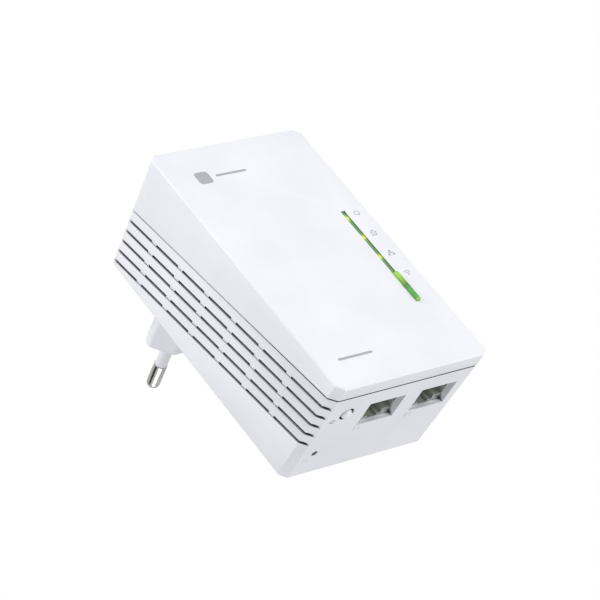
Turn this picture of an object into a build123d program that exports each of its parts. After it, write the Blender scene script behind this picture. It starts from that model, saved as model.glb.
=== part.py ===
"""Powerline adapter with two network ports: a plug-in casing with everything it holds inside.

Millimetres.  +Z is up as the adapter hangs on a wall: the network ports face down, the front cover
faces -Y and the plug points along +Y.  The origin is the centre of the plug's end face, midway
between its two pins, where the plug meets the bottom of the wall socket.
"""

import os
from math import atan2, cos, degrees, radians, sin, sqrt, tan

from build123d import *

# ---------------------------------------------------------------- driving dimensions
# Casing
body_width = 54.0
body_height = 94.0
body_depth = 40.0
side_draft = 1.2  # how much each side leans in from front to back
port_rise = 5.4  # how much higher the port end is at the back than at the front
corner = 2.1  # bevel on the four edges that run front to back
wall = 2.0
front_edge_bevel = 0.4
back_edge_radius = 1.2

# Slanting joint line between cover and housing, and the vents that run beside it
lip_at_port = 4.6  # depth of the cover at the port end
lip_at_top = 18.8
joint_slope = (lip_at_top - lip_at_port) / body_height
joint_groove = 0.5
joint_groove_depth = 0.45
tongue_reach = 1.6
tongue_thickness = 0.9
fit_gap = 0.1
vent_rows = 5
vent_first = 3.9
vent_pitch = 3.81
vent_width = 1.0
vent_groove_depth = 0.4
vent_blind_depth = 0.9
vent_through = 0.08  # how far the slots cut past the inside of the wall
rib_width = 2.15
rib_pitch = 12.44
rib_lowest = 17.0
rib_count = int((body_height - rib_lowest) / rib_pitch)

# Plug
plug_drop = 19.4  # plug centre below the top
plug_height = body_height - plug_drop
boss_depth = 17.5
boss_width = 37.2
boss_flat = 26.0
boss_thickness = 12.5
boss_tip = 2.2
boss_edge_radius = 1.6
boss_end_radius = 1.2
boss_wall = 2.0
flange_lap = 1.5
flange_wall = 1.0
carrier_thickness = 3.0
pin_spacing = 19.0
pin_lean = 0.4  # degrees, both pins towards the middle
pin_diameter = 4.0
pin_length = 19.0
pin_core_diameter = 3.0
pin_tail = 8.0
sleeve_diameter = 3.6
sleeve_length = 10.0
press_gap = 0.02

# Status light slot and the key at its lower end
slot_x = 18.65
slot_width = 1.5
slot_top = 60.0
slot_bottom = 23.0
key_top = 34.3
key_gap = 0.1
guide_recess = 0.4
key_proud = 0.9
flange_width = 4.0
flange_thickness = 1.2
light_pitch = 8.0
light_lowest = 33.4
light_count = 4

# Ports, pair button and reset hole, measured from the front face and from the port end
jack_pitch = 18.7
jack_first_x = -3.6
port_centre_depth = 15.5
port_width = 12.8
port_height = 9.3
pair_x = -17.5
pair_depth = 12.7
pair_cap = 3.4
pair_gap = 0.6
pair_hole = pair_cap + 2 * pair_gap
pair_flange = pair_hole + 1.6
pair_edge_radius = 1.1
pair_stem_radius = 1.5
pair_stem_length = 2.6
pair_flange_thickness = 1.0
pair_proud = 1.0
reset_x = -19.45
reset_depth = 29.75
reset_hole = 2.0
reset_space = 1.0

# Boards
board_thickness = 1.6
board_corner = 1.2
main_board_depth = 21.9
main_board_width = body_width - 7.2
main_board_low = 6.0
main_board_high = body_height - 6.0
power_board_depth = 35.2
power_board_width = 34.8
power_board_low = 26.0
power_board_high = body_height - 6.0
post_x = body_width / 2 - 6.5
post_low = 37.4
post_high = body_height - 10.0
post_radius = 2.5
power_post_x = 14.5
power_post_low = 29.0
power_post_high = body_height - 32.0
main_screw_grip = 6.0
power_screw_grip = 2.0
moulding_radius = 0.5
can_edge_radius = 0.4
screw_radius = 1.1
screw_head_radius = 2.2
screw_head_height = 1.4
screw_head_round = 0.4
screw_cross = 2.6
screw_cross_width = 0.5
screw_cross_depth = 0.8
screw_clearance = 0.2

# Network sockets
jack_width = 15.9
jack_height = 13.4
jack_length = 16.0
jack_wall_gap = 0.15
jack_seat_wall = 1.2  # casing wall left below the sockets
socket_width = 11.8
socket_body = 6.8
socket_depth = 13.0
contact_count = 8
contact_pitch = 1.02
contact_width = 0.4

# Push switches
switch_size = 6.0
switch_body = 3.5
plunger_proud = 1.5
plunger_radius = 1.7
switch_travel = 0.3
touch_gap = 0.03
switch_corner = 0.6
switch_leg_width = 0.8
switch_leg_thickness = 0.6
switch_leg_inset = 0.5
plunger_gap = 0.05
plunger_bore = 1.6
plunger_hold = 1.1
plunger_edge = 0.15

# ---------------------------------------------------------------- places worked out from them
front_y = -(body_depth + boss_depth)
back_y = -boss_depth
port_z = -plug_height
top_z = body_height - plug_height
middle_z = (port_z + top_z) / 2
far = 3 * body_height
main_front = front_y + main_board_depth
main_rear = main_front + board_thickness
power_front = front_y + power_board_depth
power_rear = power_front + board_thickness
inner_back = back_y - wall
joint_angle = degrees(atan2(joint_slope, 1))
port_plane_cos = body_depth / sqrt(body_depth**2 + port_rise**2)


def facing(y):
    """Sketch plane at depth y: its X is the part's X, its Y is the part's Z, and it faces the front."""
    return Plane.XZ.offset(-y)


def port_end(y):
    """Height of the outside of the port end at depth y."""
    return port_z + port_rise * (y - front_y) / body_depth


def on_main_front(x, z, thickness):
    """Place for a component that stands on the main board's front; z is above the port end."""
    return Location((x, main_front - thickness / 2, port_z + z))


def on_main_rear(x, z, thickness):
    return Location((x, main_rear + thickness / 2, port_z + z))


def on_power(x, z, thickness):
    return Location((x, power_front - thickness / 2, port_z + z))


def keep(builder, name):
    """Labels a finished piece and writes its STEP file."""
    builder.part.label = name
    export_step(builder.part, f"parts/{name}.step")


os.makedirs("parts", exist_ok=True)

# Outward-facing planes of the leaning walls
left_wall = Plane(
    origin=(-body_width / 2, front_y, 0), x_dir=(0, 0, 1), z_dir=(-body_depth, side_draft, 0)
)
right_wall = Plane(
    origin=(body_width / 2, front_y, 0), x_dir=(0, 0, 1), z_dir=(body_depth, side_draft, 0)
)
port_wall = Plane(
    origin=(0, front_y, port_z), x_dir=(1, 0, 0), z_dir=(0, port_rise, -body_depth)
)
joint_plane = Plane(
    origin=(0, front_y + lip_at_port, port_z), x_dir=(1, 0, 0), z_dir=(0, 1, -joint_slope)
)


def runs_front_to_back(edge):
    return abs(edge.tangent_at(0.5).Y) > 0.9


def casing_block(inset, front_inset, back_inset):
    """The casing's solid outer form, or the same form brought in by a wall's thickness."""
    with BuildPart() as block:
        with BuildSketch(facing(front_y + front_inset)):
            with Locations((0, middle_z)):
                Rectangle(body_width - 2 * inset, body_height - 2 * inset)
        extrude(amount=-(body_depth - front_inset - back_inset))
        for outer_face in (left_wall, right_wall, port_wall):
            split(bisect_by=outer_face.offset(-inset), keep=Keep.BOTTOM)
        bevel = corner - inset * (2 - sqrt(2))
        if bevel > 0:
            chamfer(block.edges().filter_by(runs_front_to_back), bevel)
    return block.part


def joint_slab(start, thickness):
    """A wide plate parallel to the joint line, starting that far behind it."""
    with BuildPart() as slab:
        with BuildSketch(joint_plane.offset(start)):
            Rectangle(far, far)
        extrude(amount=thickness)
    return slab.part


# ---------------------------------------------------------------- casing shell, before it is parted
with BuildPart() as shell:
    add(casing_block(0, 0, 0))
    chamfer(shell.faces().sort_by(Axis.Y)[0].edges(), front_edge_bevel)
    fillet(shell.faces().sort_by(Axis.Y)[-1].edges(), back_edge_radius)
    add(casing_block(wall, wall, wall), mode=Mode.SUBTRACT)

# Snap hooks on the cover's tongue: two at the top end and two at the port end
hook_x = 13.0
hook_length = 8.0
hook_depth = 0.7
hook_height = 0.5


def hook_boxes(grow):
    """The four hooks, or with grow above 0 the pockets that they click into."""
    across = (tongue_reach - hook_depth) * sqrt(1 + joint_slope**2)
    with BuildPart() as hooks:
        for side in (-1, 1):
            y_low = front_y + lip_at_port + across
            z_low = port_end(y_low) + wall / port_plane_cos + fit_gap
            y_high = front_y + lip_at_port + joint_slope * (body_height - wall) + across
            z_high = top_z - wall - fit_gap
            for y, z in ((y_low, z_low), (y_high, z_high)):
                with Locations((side * hook_x, y, z)):
                    Box(hook_length + 2 * grow, hook_depth + 2 * grow, 2 * (hook_height + grow))
    return hooks.part


# ---------------------------------------------------------------- front cover
with BuildPart() as front_cover:
    add(shell.part)
    split(bisect_by=joint_plane, keep=Keep.BOTTOM)
    # Tongue that lines the cover up inside the housing
    with BuildPart(mode=Mode.PRIVATE) as tongue:
        add(joint_slab(-2, 2 + tongue_reach))
        add(casing_block(wall + fit_gap, wall, wall), mode=Mode.INTERSECT)
    with BuildPart(mode=Mode.PRIVATE) as tongue_root:
        add(joint_slab(-2, 2))
        add(casing_block(wall - fit_gap, wall, wall), mode=Mode.INTERSECT)
    with BuildPart(mode=Mode.PRIVATE) as tongue_hooks:
        add(hook_boxes(0))
        add(joint_slab(0.2, tongue_reach), mode=Mode.INTERSECT)
    add(tongue.part)
    add(tongue_root.part)
    add(tongue_hooks.part)
    with BuildPart(mode=Mode.PRIVATE) as tongue_inside:
        add(joint_slab(-3, 6))
        add(casing_block(wall + fit_gap + tongue_thickness, wall, wall), mode=Mode.INTERSECT)
    add(tongue_inside.part, mode=Mode.SUBTRACT)
    # Slot for the status light guide and the key
    with BuildSketch(facing(front_y - 1)):
        with Locations((slot_x, port_z + (slot_top + slot_bottom) / 2)):
            Rectangle(slot_width, slot_top - slot_bottom)
    extrude(amount=-(wall + 2), mode=Mode.SUBTRACT)
keep(front_cover, "front_cover")

# ---------------------------------------------------------------- rear housing
boss_corners = [
    (boss_width / 2, boss_tip / 2),
    (boss_flat / 2, boss_thickness / 2),
    (-boss_flat / 2, boss_thickness / 2),
    (-boss_width / 2, boss_tip / 2),
    (-boss_width / 2, -boss_tip / 2),
    (-boss_flat / 2, -boss_thickness / 2),
    (boss_flat / 2, -boss_thickness / 2),
    (boss_width / 2, -boss_tip / 2),
]


def boss_outline(inset):
    """The plug's six-sided outline with rounded edges, brought in by inset, as a sketch at the origin."""
    with BuildSketch(Plane.XZ) as outline:
        with BuildLine():
            Polyline(*boss_corners, close=True)
        make_face()
        fillet(outline.vertices(), boss_edge_radius)
        if inset:
            offset(amount=-inset, kind=Kind.INTERSECTION, mode=Mode.REPLACE)
    return outline.sketch


def at_depth(sketch, y):
    return sketch.moved(Location((0, y, 0)))


def vent_cutters(side_wall):
    """The vent slots of one side: long grooves, cut right through between the ribs."""
    with BuildPart() as rows:
        for row in range(vent_rows):
            start = (vent_first + row * vent_pitch) * cos(radians(joint_angle)) - vent_width / 2
            add(joint_slab(start, vent_width))
        split(bisect_by=side_wall.offset(-(wall + vent_through)), keep=Keep.TOP)
        with BuildPart(mode=Mode.PRIVATE) as ribs:
            for rib in range(rib_count):
                rib_z = port_z + rib_lowest + rib * rib_pitch + rib_width / 2
                with Locations((0, front_y + body_depth / 2, rib_z)):
                    Box(far, far, rib_width)
            split(bisect_by=side_wall.offset(-vent_groove_depth), keep=Keep.BOTTOM)
        add(ribs.part, mode=Mode.SUBTRACT)
        with BuildPart(mode=Mode.PRIVATE) as blind_end:
            blind_low = port_z + rib_lowest + (rib_count - 1) * rib_pitch + rib_width
            with Locations((0, front_y + body_depth / 2, blind_low + body_height / 2)):
                Box(far, far, body_height)
            split(bisect_by=side_wall.offset(-vent_blind_depth), keep=Keep.BOTTOM)
        add(blind_end.part, mode=Mode.SUBTRACT)
    return rows.part


post_places = [(s * post_x, port_z + z) for s in (-1, 1) for z in (post_low, post_high)]
power_post_places = [
    (s * power_post_x, port_z + z) for s in (-1, 1) for z in (power_post_low, power_post_high)
]
jack_centres = [jack_first_x, jack_first_x + jack_pitch]
jack_low = port_end(main_front) + jack_seat_wall / port_plane_cos + jack_wall_gap

with BuildPart() as rear_housing:
    add(shell.part)
    split(bisect_by=joint_plane, keep=Keep.TOP)
    # Shadow groove along the joint line
    with BuildPart(mode=Mode.PRIVATE) as shadow_groove:
        add(joint_slab(0, joint_groove))
        add(casing_block(joint_groove_depth, 0, 0), mode=Mode.SUBTRACT)
    add(shadow_groove.part, mode=Mode.SUBTRACT)
    # Pockets for the cover's snap hooks
    add(hook_boxes(fit_gap), mode=Mode.SUBTRACT)
    # Vents on both sides
    add(vent_cutters(left_wall), mode=Mode.SUBTRACT)
    add(vent_cutters(right_wall), mode=Mode.SUBTRACT)
    # Opening that the plug boss is pushed out through
    add(
        extrude(at_depth(boss_outline(-fit_gap), inner_back - 1), amount=-(wall + 2)),
        mode=Mode.SUBTRACT,
    )
    # Posts for the main board and for the power board
    with BuildSketch(facing(inner_back + wall / 2)):
        with Locations(*post_places):
            Circle(post_radius)
    extrude(amount=inner_back + wall / 2 - main_rear)
    with BuildSketch(facing(inner_back + wall / 2)):
        with Locations(*power_post_places):
            Circle(post_radius)
    extrude(amount=inner_back + wall / 2 - power_rear)
    with BuildSketch(facing(inner_back - 0.4)):
        with Locations(*post_places):
            Circle(screw_radius + press_gap)
    extrude(amount=far, mode=Mode.SUBTRACT)
    with BuildSketch(facing(inner_back + 1.2)):
        with Locations(*power_post_places):
            Circle(screw_radius + press_gap)
    extrude(amount=far, mode=Mode.SUBTRACT)
    # Network port openings, pair button hole and reset hole, all straight along Z
    with BuildSketch(Plane.XY.offset(port_z - 1)):
        for x in jack_centres:
            with Locations((x, front_y + port_centre_depth)):
                Rectangle(port_width, port_height)
        with Locations((pair_x, front_y + pair_depth)):
            Circle(pair_hole / 2)
        with Locations((reset_x, front_y + reset_depth)):
            Circle(reset_hole / 2)
    extrude(amount=port_rise + wall + 3, mode=Mode.SUBTRACT)
    # Pockets in the port end that the network sockets sit down into
    with BuildSketch(Plane.XY.offset(jack_low - jack_wall_gap)):
        for x in jack_centres:
            with Locations((x, main_front - jack_height / 2)):
                Rectangle(jack_width + 2 * jack_wall_gap, jack_height + 2 * jack_wall_gap)
    extrude(amount=2 * wall, mode=Mode.SUBTRACT)
keep(rear_housing, "rear_housing")

# ---------------------------------------------------------------- plug boss
with BuildPart() as plug_boss:
    add(extrude(at_depth(boss_outline(0), inner_back), amount=-(boss_depth + wall)))
    fillet(plug_boss.faces().sort_by(Axis.Y)[-1].edges(), boss_end_radius)
    # Flange behind the housing's back wall
    add(extrude(at_depth(boss_outline(-flange_lap), inner_back - flange_wall), amount=-flange_wall))
    add(
        extrude(at_depth(boss_outline(boss_wall), inner_back - 2), amount=-(boss_depth + wall + 4)),
        mode=Mode.SUBTRACT,
    )
    # Ledge that the pin carrier rests on
    with BuildPart(mode=Mode.PRIVATE) as ledge:
        add(extrude(at_depth(boss_outline(boss_wall - 0.1), -carrier_thickness - 2), amount=-2))
        add(
            extrude(at_depth(boss_outline(boss_wall + 1.0), -carrier_thickness - 3), amount=-4),
            mode=Mode.SUBTRACT,
        )
    add(ledge.part)
keep(plug_boss, "plug_boss")

# ---------------------------------------------------------------- pin carrier, pins and sleeves
pin_planes = {
    name: Plane(
        origin=(side * pin_spacing / 2, 0, 0),
        x_dir=(0, 0, 1),
        z_dir=(-side * sin(radians(pin_lean)), cos(radians(pin_lean)), 0),
    )
    for name, side in (("left", -1), ("right", 1))
}

with BuildPart() as pin_carrier:
    add(extrude(at_depth(boss_outline(boss_wall + fit_gap), -carrier_thickness), amount=-carrier_thickness))
    for pin_plane in pin_planes.values():
        with BuildSketch(pin_plane.offset(-carrier_thickness - 1)):
            Circle(pin_core_diameter / 2 + press_gap)
        extrude(amount=carrier_thickness + 2, mode=Mode.SUBTRACT)
keep(pin_carrier, "pin_carrier")

for name, pin_plane in pin_planes.items():
    with BuildPart() as plug_pin:
        with BuildSketch(pin_plane.offset(-pin_tail)):
            Circle(pin_core_diameter / 2)
        extrude(amount=pin_tail + sleeve_length)
        with BuildSketch(pin_plane.offset(sleeve_length)):
            Circle(pin_diameter / 2)
        extrude(amount=pin_length - sleeve_length)
        fillet(plug_pin.edges().sort_by(Axis.Y)[-1], pin_diameter / 2 - 0.15)
    keep(plug_pin, f"plug_pin_{name}")

    with BuildPart() as pin_sleeve:
        with BuildSketch(pin_plane.offset(0.05)):
            Circle(sleeve_diameter / 2)
            Circle(pin_core_diameter / 2 + press_gap, mode=Mode.SUBTRACT)
        extrude(amount=sleeve_length - 0.05)
    keep(pin_sleeve, f"pin_sleeve_{name}")

# ---------------------------------------------------------------- straps from the pins to the power board
strap_plate = 4.2
strap_thickness = 0.8
strap_width = 3.0
strap_offset = 2.4
strap_y = -pin_tail + 0.3
strap_slot_gap = 0.15
tail_x = pin_spacing / 2 + pin_tail * tan(radians(pin_lean))

for name, side in (("left", -1), ("right", 1)):
    with BuildPart() as mains_strap:
        with Locations((side * (tail_x + strap_offset / 2), strap_y + strap_thickness / 2, 0)):
            Box(strap_offset + strap_plate, strap_thickness, strap_plate)
        strip_end = power_front - 1.5
        outer_x = side * (tail_x + strap_offset + strap_plate / 2 - strap_thickness / 2)
        with Locations((outer_x, (strap_y + strip_end) / 2, 0)):
            Box(strap_thickness, strap_y - strip_end, strap_width)
        with BuildSketch(pin_planes[name].offset(-pin_tail - 1)):
            Circle(pin_core_diameter / 2 + press_gap)
        extrude(amount=pin_tail, mode=Mode.SUBTRACT)
    keep(mains_strap, f"mains_strap_{name}")

# ---------------------------------------------------------------- power board and its screws
header_pins_count = 8
header_pitch = 2.54
header_z = 31.0
header_pin = 0.64
header_point = 0.15
header_hole_gap = 0.1
strap_x = tail_x + strap_offset + strap_plate / 2 - strap_thickness / 2

with BuildPart() as power_board:
    with BuildSketch(facing(power_rear)):
        with Locations((0, port_z + (power_board_low + power_board_high) / 2)):
            RectangleRounded(power_board_width, power_board_high - power_board_low, board_corner)
        with Locations(*power_post_places):
            Circle(screw_radius + screw_clearance, mode=Mode.SUBTRACT)
        with Locations((strap_x, 0), (-strap_x, 0)):
            Rectangle(
                strap_thickness + 2 * strap_slot_gap,
                strap_width + 2 * strap_slot_gap,
                mode=Mode.SUBTRACT,
            )
        with Locations((0, port_z + header_z)):
            with GridLocations(header_pitch, header_pitch, header_pins_count, 1):
                Circle(header_pin * 0.75 + header_hole_gap, mode=Mode.SUBTRACT)
    extrude(amount=board_thickness)
keep(power_board, "power_board")


def screws(places, seat, length):
    """Self-tapping screws pointing +Y with their heads resting on a board's front at seat."""
    with BuildPart() as row:
        with BuildSketch(facing(seat)):
            with Locations(*places):
                Circle(screw_head_radius)
        extrude(amount=screw_head_height)
        fillet(row.edges().group_by(Axis.Y)[0], screw_head_round)
        with BuildSketch(facing(seat)):
            with Locations(*places):
                Circle(screw_radius)
        extrude(amount=-length)
        with BuildSketch(facing(seat - screw_head_height)):
            with Locations(*places):
                Rectangle(screw_cross, screw_cross_width)
                Rectangle(screw_cross_width, screw_cross)
        extrude(amount=-screw_cross_depth, mode=Mode.SUBTRACT)
    return row.part


with BuildPart() as power_board_screws:
    add(screws(power_post_places, power_front, board_thickness + power_screw_grip))
keep(power_board_screws, "power_board_screws")

# ---------------------------------------------------------------- parts on the power board
mains_row = 10.0  # how far the fuse and its neighbours lie below the top

fuse_left = -14.0
fuse_length = 10.0
fuse_radius = 1.7
fuse_end_radius = 1.9
fuse_end_length = 2.0
fuse_foot = 1.2

with BuildPart() as fuse:
    with BuildSketch(Plane.YZ.offset(fuse_left)):
        with Locations((power_front - fuse_end_radius, top_z - mains_row)):
            Circle(fuse_radius)
    extrude(amount=fuse_length)
    for end in (fuse_left, fuse_left + fuse_length - fuse_end_length):
        with BuildSketch(Plane.YZ.offset(end)):
            with Locations((power_front - fuse_end_radius, top_z - mains_row)):
                Circle(fuse_end_radius)
        extrude(amount=fuse_end_length)
        with Locations(on_power(end + fuse_end_length / 2, body_height - mains_row, fuse_end_radius)):
            Box(fuse_foot, fuse_end_radius, fuse_foot)
keep(fuse, "fuse")


disc_lift = 1.2
disc_lead = 0.7
varistor_x = 9.0
varistor_radius = 4.4
varistor_thickness = 3.4
y_capacitor_x = 5.6
y_capacitor_z = 36.0
y_capacitor_radius = 3.4
y_capacitor_thickness = 3.0


def standing_disc(x, z, radius, thickness):
    """A disc-shaped part standing on edge on the power board on two short leads."""
    with BuildPart() as disc:
        with BuildSketch(Plane.XY.offset(port_z + z - thickness / 2)):
            with Locations((x, power_front - disc_lift - radius)):
                Circle(radius)
        extrude(amount=thickness)
        fillet(disc.edges(), thickness * 0.35)
        for side in (-1, 1):
            with Locations((x + side * radius * 0.5, power_front - disc_lift, port_z + z)):
                Box(disc_lead, 2 * disc_lift, disc_lead)
    return disc.part


with BuildPart() as varistor:
    add(standing_disc(varistor_x, body_height - mains_row, varistor_radius, varistor_thickness))
keep(varistor, "varistor")

with BuildPart() as y_capacitor:
    add(standing_disc(y_capacitor_x, y_capacitor_z, y_capacitor_radius, y_capacitor_thickness))
keep(y_capacitor, "y_capacitor")

x_capacitor_width = 13.0
x_capacitor_height = 10.0
x_capacitor_depth = 6.0
x_capacitor_z = plug_height + 0.4
with BuildPart() as x_capacitor:
    with Locations(on_power(0, x_capacitor_z, x_capacitor_height)):
        Box(x_capacitor_width, x_capacitor_height, x_capacitor_depth)
    fillet(x_capacitor.edges().filter_by(Axis.Y), moulding_radius)
    fillet(x_capacitor.faces().sort_by(Axis.Y)[0].edges(), can_edge_radius)
keep(x_capacitor, "x_capacitor")

choke_x_size = 14.0
choke_height = 10.0
choke_leg = 3.0
choke_depth = 4.0
choke_z = plug_height - 9.6
coil_build = 2.0
coil_gap = 0.1

with BuildPart() as choke_core:
    with Locations(on_power(0, choke_z, choke_height)):
        Box(choke_x_size, choke_height, choke_depth)
        Box(
            choke_x_size - 2 * choke_leg,
            choke_height - 2 * choke_leg,
            choke_depth,
            mode=Mode.SUBTRACT,
        )
keep(choke_core, "choke_core")

with BuildPart() as choke_windings:
    coil_size = choke_height - 2 * choke_leg - 2 * coil_gap
    leg_x = (choke_x_size - choke_leg) / 2
    with Locations((0, power_front - choke_height / 2, port_z + choke_z)):
        with Locations((-leg_x, 0, 0), (leg_x, 0, 0)):
            Box(choke_leg + 2 * coil_build, coil_size, choke_depth + 2 * coil_build)
    fillet(choke_windings.edges().filter_by(Axis.Y), 1.2)
    with Locations((0, power_front - choke_height / 2, port_z + choke_z)):
        with Locations((-leg_x, 0, 0), (leg_x, 0, 0)):
            Box(
                choke_leg + 2 * coil_gap,
                choke_height,
                choke_depth + 2 * coil_gap,
                mode=Mode.SUBTRACT,
            )
keep(choke_windings, "choke_windings")

leg_reach = 1.0


def chip(place, size, leg_rows):
    """A moulded chip with a small bevel and a row of flat legs along its left and right sides."""
    across, thick, tall = size
    with BuildPart() as body:
        with Locations(place):
            Box(across, thick, tall)
            chamfer(body.edges().filter_by(Axis.Z), min(thick, across) * 0.12)
        if leg_rows:
            step = tall / leg_rows
            with Locations(place):
                with Locations(Location((0, thick / 4, 0))):
                    for row in range(leg_rows):
                        with Locations((0, 0, (row + 0.5) * step - tall / 2)):
                            Box(across + 2 * leg_reach, thick / 2, step * 0.4)
    return body.part


# Chip sizes are across, thick and tall
bridge_size = (3.8, 2.4, 4.6)
bridge_x = -13.0
bridge_z = plug_height - 6.6
switching_size = (6.4, 3.2, 6.4)
switching_x = -11.0
switching_z = 35.6
optocoupler_size = (4.4, 3.2, 4.6)
optocoupler_x = -1.6
optocoupler_z = 36.4

with BuildPart() as bridge_rectifier:
    add(chip(on_power(bridge_x, bridge_z, bridge_size[1]), bridge_size, 2))
keep(bridge_rectifier, "bridge_rectifier")

with BuildPart() as switching_chip:
    add(chip(on_power(switching_x, switching_z, switching_size[1]), switching_size, 3))
keep(switching_chip, "switching_chip")

with BuildPart() as optocoupler:
    add(chip(on_power(optocoupler_x, optocoupler_z, optocoupler_size[1]), optocoupler_size, 2))
keep(optocoupler, "optocoupler")

bulk_radius = 5.0
bulk_length = 16.0
bulk_low = 40.0
bulk_centres = (-11.7, -1.2)
crimp_up = 2.0
crimp_width = 0.9
crimp_depth = 0.35

with BuildPart() as bulk_capacitors:
    for x in bulk_centres:
        with BuildSketch(Plane.XY.offset(port_z + bulk_low)):
            with Locations((x, power_front - bulk_radius)):
                Circle(bulk_radius)
        extrude(amount=bulk_length)
    fillet(bulk_capacitors.edges().filter_by(GeomType.CIRCLE), moulding_radius)
    # Crimp round each can near its leads
    for x in bulk_centres:
        with BuildSketch(Plane.XY.offset(port_z + bulk_low + crimp_up)):
            with Locations((x, power_front - bulk_radius)):
                Circle(bulk_radius + press_gap)
                Circle(bulk_radius - crimp_depth, mode=Mode.SUBTRACT)
        extrude(amount=crimp_width, mode=Mode.SUBTRACT)
keep(bulk_capacitors, "bulk_capacitors")

# Transformer: two E cores, a bobbin and its winding, standing on the power board
core_x = 11.0
core_z = 47.5
core_width = 11.6
core_height = 9.6
core_depth = 5.4
core_leg = 2.4
core_lift = 0.4  # height of the core above the board
bobbin_wall = 0.6
bobbin_gap = 0.1
bobbin_end = 1.6
turn_gap = 0.05
winding_fill = 0.75  # share of the window's free width that the winding takes up

with BuildPart() as transformer_core:
    with Locations(on_power(core_x, core_z, core_height + 2 * core_lift)):
        Box(core_width, core_height, core_depth)
        for side in (-1, 1):
            with Locations((side * (core_width - core_leg) / 4, 0, 0)):
                Box(
                    (core_width - 3 * core_leg) / 2,
                    core_height - 2 * core_leg,
                    core_depth,
                    mode=Mode.SUBTRACT,
                )
keep(transformer_core, "transformer_core")

window = (core_width - 3 * core_leg) / 2
window_height = core_height - 2 * core_leg
former_low = power_front - core_height / 2 - core_lift
former_across = core_leg + 2 * bobbin_wall + 2 * bobbin_gap
former_along = core_depth + 2 * bobbin_wall + 2 * bobbin_gap
bobbin_height = window_height - 2 * bobbin_gap
winding_build = (window - bobbin_wall - bobbin_gap) * winding_fill
flange_end = former_along / 2 + winding_build + 3 * bobbin_gap
with BuildPart() as transformer_bobbin:
    with Locations((core_x, former_low, port_z + core_z)):
        Box(former_across, bobbin_height, former_along)
        for side in (-1, 1):
            with Locations((0, side * (bobbin_height - bobbin_wall) / 2, 0)):
                Box(
                    core_width - 2 * core_leg - 2 * bobbin_gap,
                    bobbin_wall,
                    2 * (flange_end + bobbin_gap),
                )
            with Locations((0, 0, side * (flange_end + bobbin_end / 2))):
                Box(core_width, bobbin_height, bobbin_end)
        Box(
            core_leg + 2 * bobbin_gap,
            core_height,
            core_depth + 2 * bobbin_gap,
            mode=Mode.SUBTRACT,
        )
keep(transformer_bobbin, "transformer_bobbin")

with BuildPart() as transformer_winding:
    inner_across = former_across + 2 * turn_gap
    inner_along = former_along + 2 * turn_gap
    with Locations((core_x, former_low, port_z + core_z)):
        Box(
            inner_across + 2 * winding_build,
            bobbin_height - 2 * bobbin_wall - 2 * bobbin_gap,
            inner_along + 2 * winding_build,
        )
        fillet(transformer_winding.edges().filter_by(Axis.Y), moulding_radius)
        Box(inner_across, window_height, inner_along, mode=Mode.SUBTRACT)
keep(transformer_winding, "transformer_winding")

output_radius = 3.15
output_length = 9.0
output_x = 13.4
output_z = 35.6
with BuildPart() as output_capacitor:
    with BuildSketch(facing(power_front)):
        with Locations((output_x, port_z + output_z)):
            Circle(output_radius)
    extrude(amount=output_length)
    fillet(output_capacitor.edges(), can_edge_radius)
keep(output_capacitor, "output_capacitor")

coupling_size = 6.6
coupling_height = 6.4
coupling_base = (8.4, 1.2, 5.0)
coupling_bevel = 0.8
coupling_x = 0.2
coupling_z = body_height - mains_row - 0.4

with BuildPart() as coupling_transformer:
    with Locations(on_power(coupling_x, coupling_z, coupling_height)):
        Box(coupling_size, coupling_height, coupling_size)
    chamfer(coupling_transformer.edges().filter_by(Axis.Y), coupling_bevel)
    with Locations(on_power(coupling_x, coupling_z, coupling_base[1])):
        Box(*coupling_base)
keep(coupling_transformer, "coupling_transformer")

# ---------------------------------------------------------------- header that joins the two boards
strip_height = 2.5
socket_height = 8.4
header_slack = 0.1
header_tail = 0.8
header_grip = 6.0
header_pocket = 6.6
header_span = header_pins_count * header_pitch

with BuildPart() as header_strip:
    with Locations(on_power(0, header_z, strip_height)):
        Box(header_span, strip_height, header_pitch - header_slack)
        with GridLocations(header_pitch, header_pitch, header_pins_count, 1):
            Box(
                header_pin + 2 * press_gap,
                strip_height,
                header_pin + 2 * press_gap,
                mode=Mode.SUBTRACT,
            )
keep(header_strip, "header_strip")

with BuildPart() as header_pins:
    with Locations((0, power_rear + header_tail, port_z + header_z)):
        with GridLocations(header_pitch, header_pitch, header_pins_count, 1):
            pin_run = power_rear + header_tail - (main_rear + socket_height - header_grip)
            Box(header_pin, pin_run, header_pin, align=(Align.CENTER, Align.MAX, Align.CENTER))
    chamfer(header_pins.faces().group_by(Axis.Y)[0].edges(), header_point)
keep(header_pins, "header_pins")

with BuildPart() as header_socket:
    with Locations(on_main_rear(0, header_z, socket_height)):
        Box(header_span, socket_height, header_pitch - header_slack)
    with Locations((0, main_rear + socket_height, port_z + header_z)):
        with GridLocations(header_pitch, header_pitch, header_pins_count, 1):
            Box(
                header_pin + 2 * header_slack,
                2 * header_pocket,
                header_pin + 2 * header_slack,
                mode=Mode.SUBTRACT,
            )
keep(header_socket, "header_socket")

# ---------------------------------------------------------------- main board and its screws
with BuildPart() as main_board:
    with BuildSketch(facing(main_rear)):
        with Locations((0, port_z + (main_board_low + main_board_high) / 2)):
            RectangleRounded(main_board_width, main_board_high - main_board_low, board_corner)
        with Locations(*post_places):
            Circle(screw_radius + screw_clearance, mode=Mode.SUBTRACT)
    extrude(amount=board_thickness)
keep(main_board, "main_board")

with BuildPart() as main_board_screws:
    add(screws(post_places, main_front, board_thickness + main_screw_grip))
keep(main_board_screws, "main_board_screws")

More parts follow.
